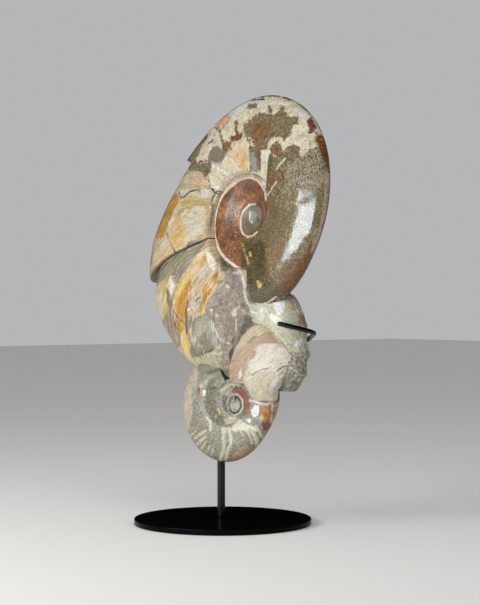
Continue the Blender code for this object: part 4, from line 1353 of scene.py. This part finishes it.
def make_small():
    """The small ammonite, coiled the other way."""
    near_seam = np.linspace(0, 0.12, 8)
    inner = np.concatenate([near_seam, np.linspace(0.12, 0.94, 18)[1:], [0.96, 0.98, 1.0]])
    x, y, h, faces = coil(
        SMALL_SEAM, SMALL_TURN_GROWTH, SMALL_RIM, SMALL_SPAN, SMALL_HALF_DEPTH, turns=1, step=1.5,
        inner=inner, outer=rounded_rim(27), steep_from=math.inf, hand=-1)
    at = to_space(SMALL_PLANE, x, y, h)
    h = h + 0.25 * rough(at, 9.0, octaves=3, seed=5)
    points, faces = thicken(SMALL_PLANE, x, y, h, -h, faces)
    skin("small_coil", points, faces, mark_fields(at, SMALL_MARKS), small_look(), "small_ammonite")


def band_fields(angle, share):
    """Places along and across the whorl, in millimetres. A growth line bends forward as it goes out."""
    along = np.radians(angle) * 110.0 - 25.0 * share**2
    return {"along": both_sides(along), "across": both_sides(share * 70.0)}


def make_upper():
    """The upper length of the outer whorl, from the crack to the step."""
    columns = 84

    def start(share, radius):
        return LARGE_SPAN[1] + crack_wander(radius) + np.degrees(CRACK / radius)

    def stop(share):
        return smooth(STEP_EDGE, share)

    def level(angle, share, radius):
        return whorl_level(UPPER_RIM, angle, share)

    x, y, front, back, angle, share, faces = body_piece(
        UPPER_RIM, start, stop, columns, rows=70, front_at=level, back_at=level)
    at = to_space(LARGE_PLANE, x, y, front)
    front = front + 0.35 * rough(at, 14.0, octaves=4, seed=2)
    points, faces = thicken(LARGE_PLANE, x, y, front, back, faces)
    fields = band_fields(angle, share)
    # Only the back skin's last column is marked, so the painted shadow fades in across the broken end.
    last_column = np.arange(len(x)) >= len(x) - len(x) // (columns + 1)
    fields["end_shadow"] = np.concatenate([0.0 * last_column, 1.0 * last_column])
    fields.update(mark_fields(at, UPPER_MARKS))
    skin("upper_shell", points, faces, fields, upper_look(), "body_whorl_upper")


def make_lower():
    """The lower length of the outer whorl, from the step to the lip."""
    def start(share, radius):
        return smooth(STEP_EDGE, share) + np.degrees(CRACK / radius)

    def stop(share):
        return smooth(LOWER_EDGE, share)

    def back_level(angle, share, radius):
        return whorl_level(LOWER_RIM, angle, share) * lip_fall(angle, share)

    x, y, front, back, angle, share, faces = body_piece(
        LOWER_RIM, start, stop, columns=120, rows=90, front_at=lower_front, back_at=back_level)
    at = to_space(LARGE_PLANE, x, y, front)
    fields = band_fields(angle, share)
    fields.update(mark_fields(at, LOWER_MARKS))
    bare = fields["infill"][:len(x)]
    open_rock = broken_open(angle, share, 2.0) * ease(-bare / 4)
    lumps = 1.3 * rough(at, 9.0, octaves=5, seed=3) + crag(at, 6.0, seed=1) - 0.3
    front = front + open_rock * lumps
    front = front + (1 - open_rock) * 0.35 * rough(at, 12.0, octaves=4, seed=4)
    points, faces = thicken(LARGE_PLANE, x, y, front, back, faces)
    skin("lower_shell", points, faces, fields, lower_look(), "body_whorl_lower")


def make_rock():
    """The rock: polished in one place, rough elsewhere, with a chipped rim."""
    rings = np.concatenate([np.linspace(0.015, 0.9, 62), np.linspace(0.9, 1.0, 12)[1:]])
    x, y, share, faces = patch(ROCK_OUTLINE, 230, rings)
    around = np.arctan2(y, x)
    circle = 60 * np.stack([np.cos(around), np.sin(around), 0 * around], axis=1)
    chipped = 0.5 + 0.5 * rough(circle, 7.0, octaves=4, seed=9)
    pull = 1 - 0.05 * np.clip(chipped, 0, 1) * share**3
    x = x * pull
    y = y * pull
    front = rock_front(x, y, share)
    at = to_space(LUMP_PLANE, x, y, front)
    polished = np.clip(bump(x, y, (24, 32), (26, 22), 1.6), 0, 1)
    lumps = 1.5 * rough(at, 11.0, octaves=5, seed=6) + 1.4 * (crag(at, 7.0, seed=2) - 0.35)
    lumps = lumps + 3.0 * share**6 * rough(at, 6.0, octaves=4, seed=10)
    front = front + (1 - 0.9 * polished) * lumps
    back = rock_back(x, y, share) + 0.9 * rough(at, 12.0, octaves=5, seed=7)
    points, faces = thicken(LUMP_PLANE, x, y, front, np.minimum(back, front - 1.0), faces)
    # Only the front is polished, and not its rim.
    glossy = polished * (1 - share**6)
    fields = {"polished": np.concatenate([glossy, 0 * glossy])}
    fields.update(mark_fields(at, ROCK_MARKS))
    skin("rock", points, faces, fields, rock_look(), "matrix_rock")


def make_piece():
    """The loose fan-shaped piece of shell, with its growth lines raised."""
    rings = np.concatenate([np.linspace(0.02, 0.9, 44), np.linspace(0.9, 1.0, 9)[1:]])
    x, y, share, faces = patch(PIECE_OUTLINE, 200, rings)
    from_centre = (x - FAN_CENTRE[0], y - FAN_CENTRE[1])
    lines = np.hypot(*from_centre)
    fan = 110.0 * np.arctan2(from_centre[1], from_centre[0])
    front = piece_front(x, y, share)
    front = front + 0.3 * np.sin(lines * 0.42) + 0.08 * np.sin(lines * 1.9 + 0.1 * x)
    at = to_space(LUMP_PLANE, x, y, front)
    front = front + 0.3 * rough(at, 8.0, octaves=4, seed=8)
    points, faces = thicken(LUMP_PLANE, x, y, front, front - PIECE_THICK, faces)
    fields = {"lines": both_sides(lines), "fan": both_sides(fan)}
    fields.update(mark_fields(at, PIECE_MARKS))
    skin("fan_shell", points, faces, fields, piece_look(), "shell_piece")


def turned(name, radius, low, high, at, sides, edge, look, node, slot):
    """An upright cylinder with rounded rims."""
    mesh = bpy.data.meshes.new(name)
    form = bmesh.new()
    bmesh.ops.create_cone(
        form, cap_ends=True, segments=sides, radius1=radius * MM, radius2=radius * MM,
        depth=(high - low) * MM)
    form.to_mesh(mesh)
    form.free()
    mesh.shade_smooth()
    mesh.set_sharp_from_angle(angle=math.radians(40))
    mesh.materials.append(look)
    piece = placed(name, mesh)
    piece.location = (at[0] * MM, at[1] * MM, (low + high) / 2 * MM)
    rim = piece.modifiers.new("rim", "BEVEL")
    rim.width = edge * MM
    rim.segments = 4
    rim.limit_method = "ANGLE"
    dress(piece, node)


def rounded(corners, radius, steps=10):
    """A path through corners, each turned with an arc-like bend."""
    corners = [np.array(c, float) for c in corners]
    path = [corners[0]]
    for before, here, after in zip(corners, corners[1:], corners[2:]):
        a = here + (before - here) / np.linalg.norm(before - here) * radius
        b = here + (after - here) / np.linalg.norm(after - here) * radius
        for k in range(steps + 1):
            t = k / steps
            path.append((1 - t) ** 2 * a + 2 * t * (1 - t) * here + t * t * b)
    path.append(corners[-1])
    return path


def arm(name, corners, bend, look, node):
    """A round rod through corners, flat where it is brazed on and domed at its free end."""
    path = rounded(corners, bend)
    ahead = path[-1] - path[-2]
    ahead = ahead / np.linalg.norm(ahead)
    stations = [(point, 1.0) for point in path]
    for tilt in (15, 30, 45, 60, 72, 82):
        lean = math.radians(tilt)
        stations.append((path[-1] + ahead * ARM_RADIUS * math.sin(lean), math.cos(lean)))
    curve = bpy.data.curves.new(name, "CURVE")
    curve.dimensions = "3D"
    curve.bevel_depth = ARM_RADIUS * MM
    curve.bevel_resolution = 6
    curve.use_fill_caps = True
    spline = curve.splines.new("POLY")
    spline.points.add(len(stations) - 1)
    for knot, (point, size) in zip(spline.points, stations):
        knot.co = (*(point * MM), 1.0)
        knot.radius = size
    spline.use_smooth = True
    curve.materials.append(look)
    dress(placed(name, curve), node)


def make_stand():
    """The base, its post and the two arms that hold the rock."""
    turned("round_base", BASE_RADIUS, 0.0, BASE_HEIGHT, (0.0, 0.0), sides=200, edge=1.0,
           look=black_look("base_gloss", 1.1), node="stand_base", slot="base_black")
    turned("post", POST_RADIUS, BASE_HEIGHT + JOINT_GAP, POST_TOP, POST_AT, sides=48, edge=0.8,
           look=black_look("post_gloss", 1.4), node="stand_post", slot="post_black")
    arm("clasp_arm", CLASP, 9.0, black_look("clasp_gloss", 1.4), "stand_clasp")
    arm("rest_arm", REST, 6.0, black_look("rest_gloss", 1.4), "stand_rest")


def lamp(name, turn, rise, distance, size, energy, tint=(1.0, 1.0, 1.0), diffuse=True, glossy=True):
    """A soft rectangular lamp that faces the shell, placed by its turn from the front.

    It can be left out of the diffuse light or of the gloss."""
    turn = math.radians(turn)
    rise = math.radians(rise)
    away = Vector((math.sin(turn) * math.cos(rise), -math.cos(turn) * math.cos(rise), math.sin(rise)))
    light = bpy.data.lights.new(name, "AREA")
    light.shape = "RECTANGLE"
    light.size = size[0] * MM
    light.size_y = size[1] * MM
    light.energy = energy
    light.color = tint
    made = placed(name, light)
    made.location = Vector(LAMP_TARGET) * MM + away * (distance * MM)
    made.rotation_euler = (-away).to_track_quat("-Z", "Y").to_euler()
    made.visible_diffuse = diffuse
    made.visible_glossy = glossy


def make_lamps():
    """A broad soft light, the highlight on the polished flank, and a light from above."""
    lamp("softbox", -6, 13, 1300, (850, 420), 12.5, glossy=False)
    lamp("glint", 0, 13, 1300, (1100, 460), 25.0, tint=(0.82, 0.93, 1.0), diffuse=False)
    lamp("top_light", 60, 55, 1600, (900, 900), 6.0, glossy=False)


def make_camera():
    """The camera of the picture that the markings are drawn in."""
    place, _, ahead = camera_frame()
    camera = bpy.data.cameras.new("camera")
    camera.sensor_width = SENSOR
    camera.lens = FOCAL_PIXELS / PICTURE[1] * SENSOR
    made = placed("camera", camera)
    made.location = place * MM
    made.rotation_euler = Vector(ahead).to_track_quat("-Z", "Y").to_euler()
    bpy.context.scene.camera = made


def make_stage():
    """A pale floor and an even sky, which lights the pieces but isn't mirrored in them."""
    reach = FLOOR_REACH * MM
    corners = [(-reach, -reach, 0), (reach, -reach, 0), (reach, reach, 0), (-reach, reach, 0)]
    floor = bpy.data.meshes.new("floor")
    floor.from_pydata(corners, [], [(0, 1, 2, 3)])
    floor.materials.append(Paint("pale_floor", 0.7).finish((236, 234, 230)))
    placed("floor", floor)
    world = bpy.data.worlds.new("studio")
    bpy.context.scene.world = world
    world.use_nodes = True
    sky = world.node_tree.nodes["Background"]
    sky.inputs["Color"].default_value = tone((225, 226, 228))
    sky.inputs["Strength"].default_value = SKY_STRENGTH
    world.cycles_visibility.glossy = False


def main():
    """Dress the loaded solids."""
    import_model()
    make_camera()
    make_stage()
    make_lamps()
    make_disc()
    make_upper()
    make_lower()
    make_small()
    make_rock()
    make_piece()
    make_stand()
    bpy.context.scene.view_settings.view_transform = "Standard"


main()
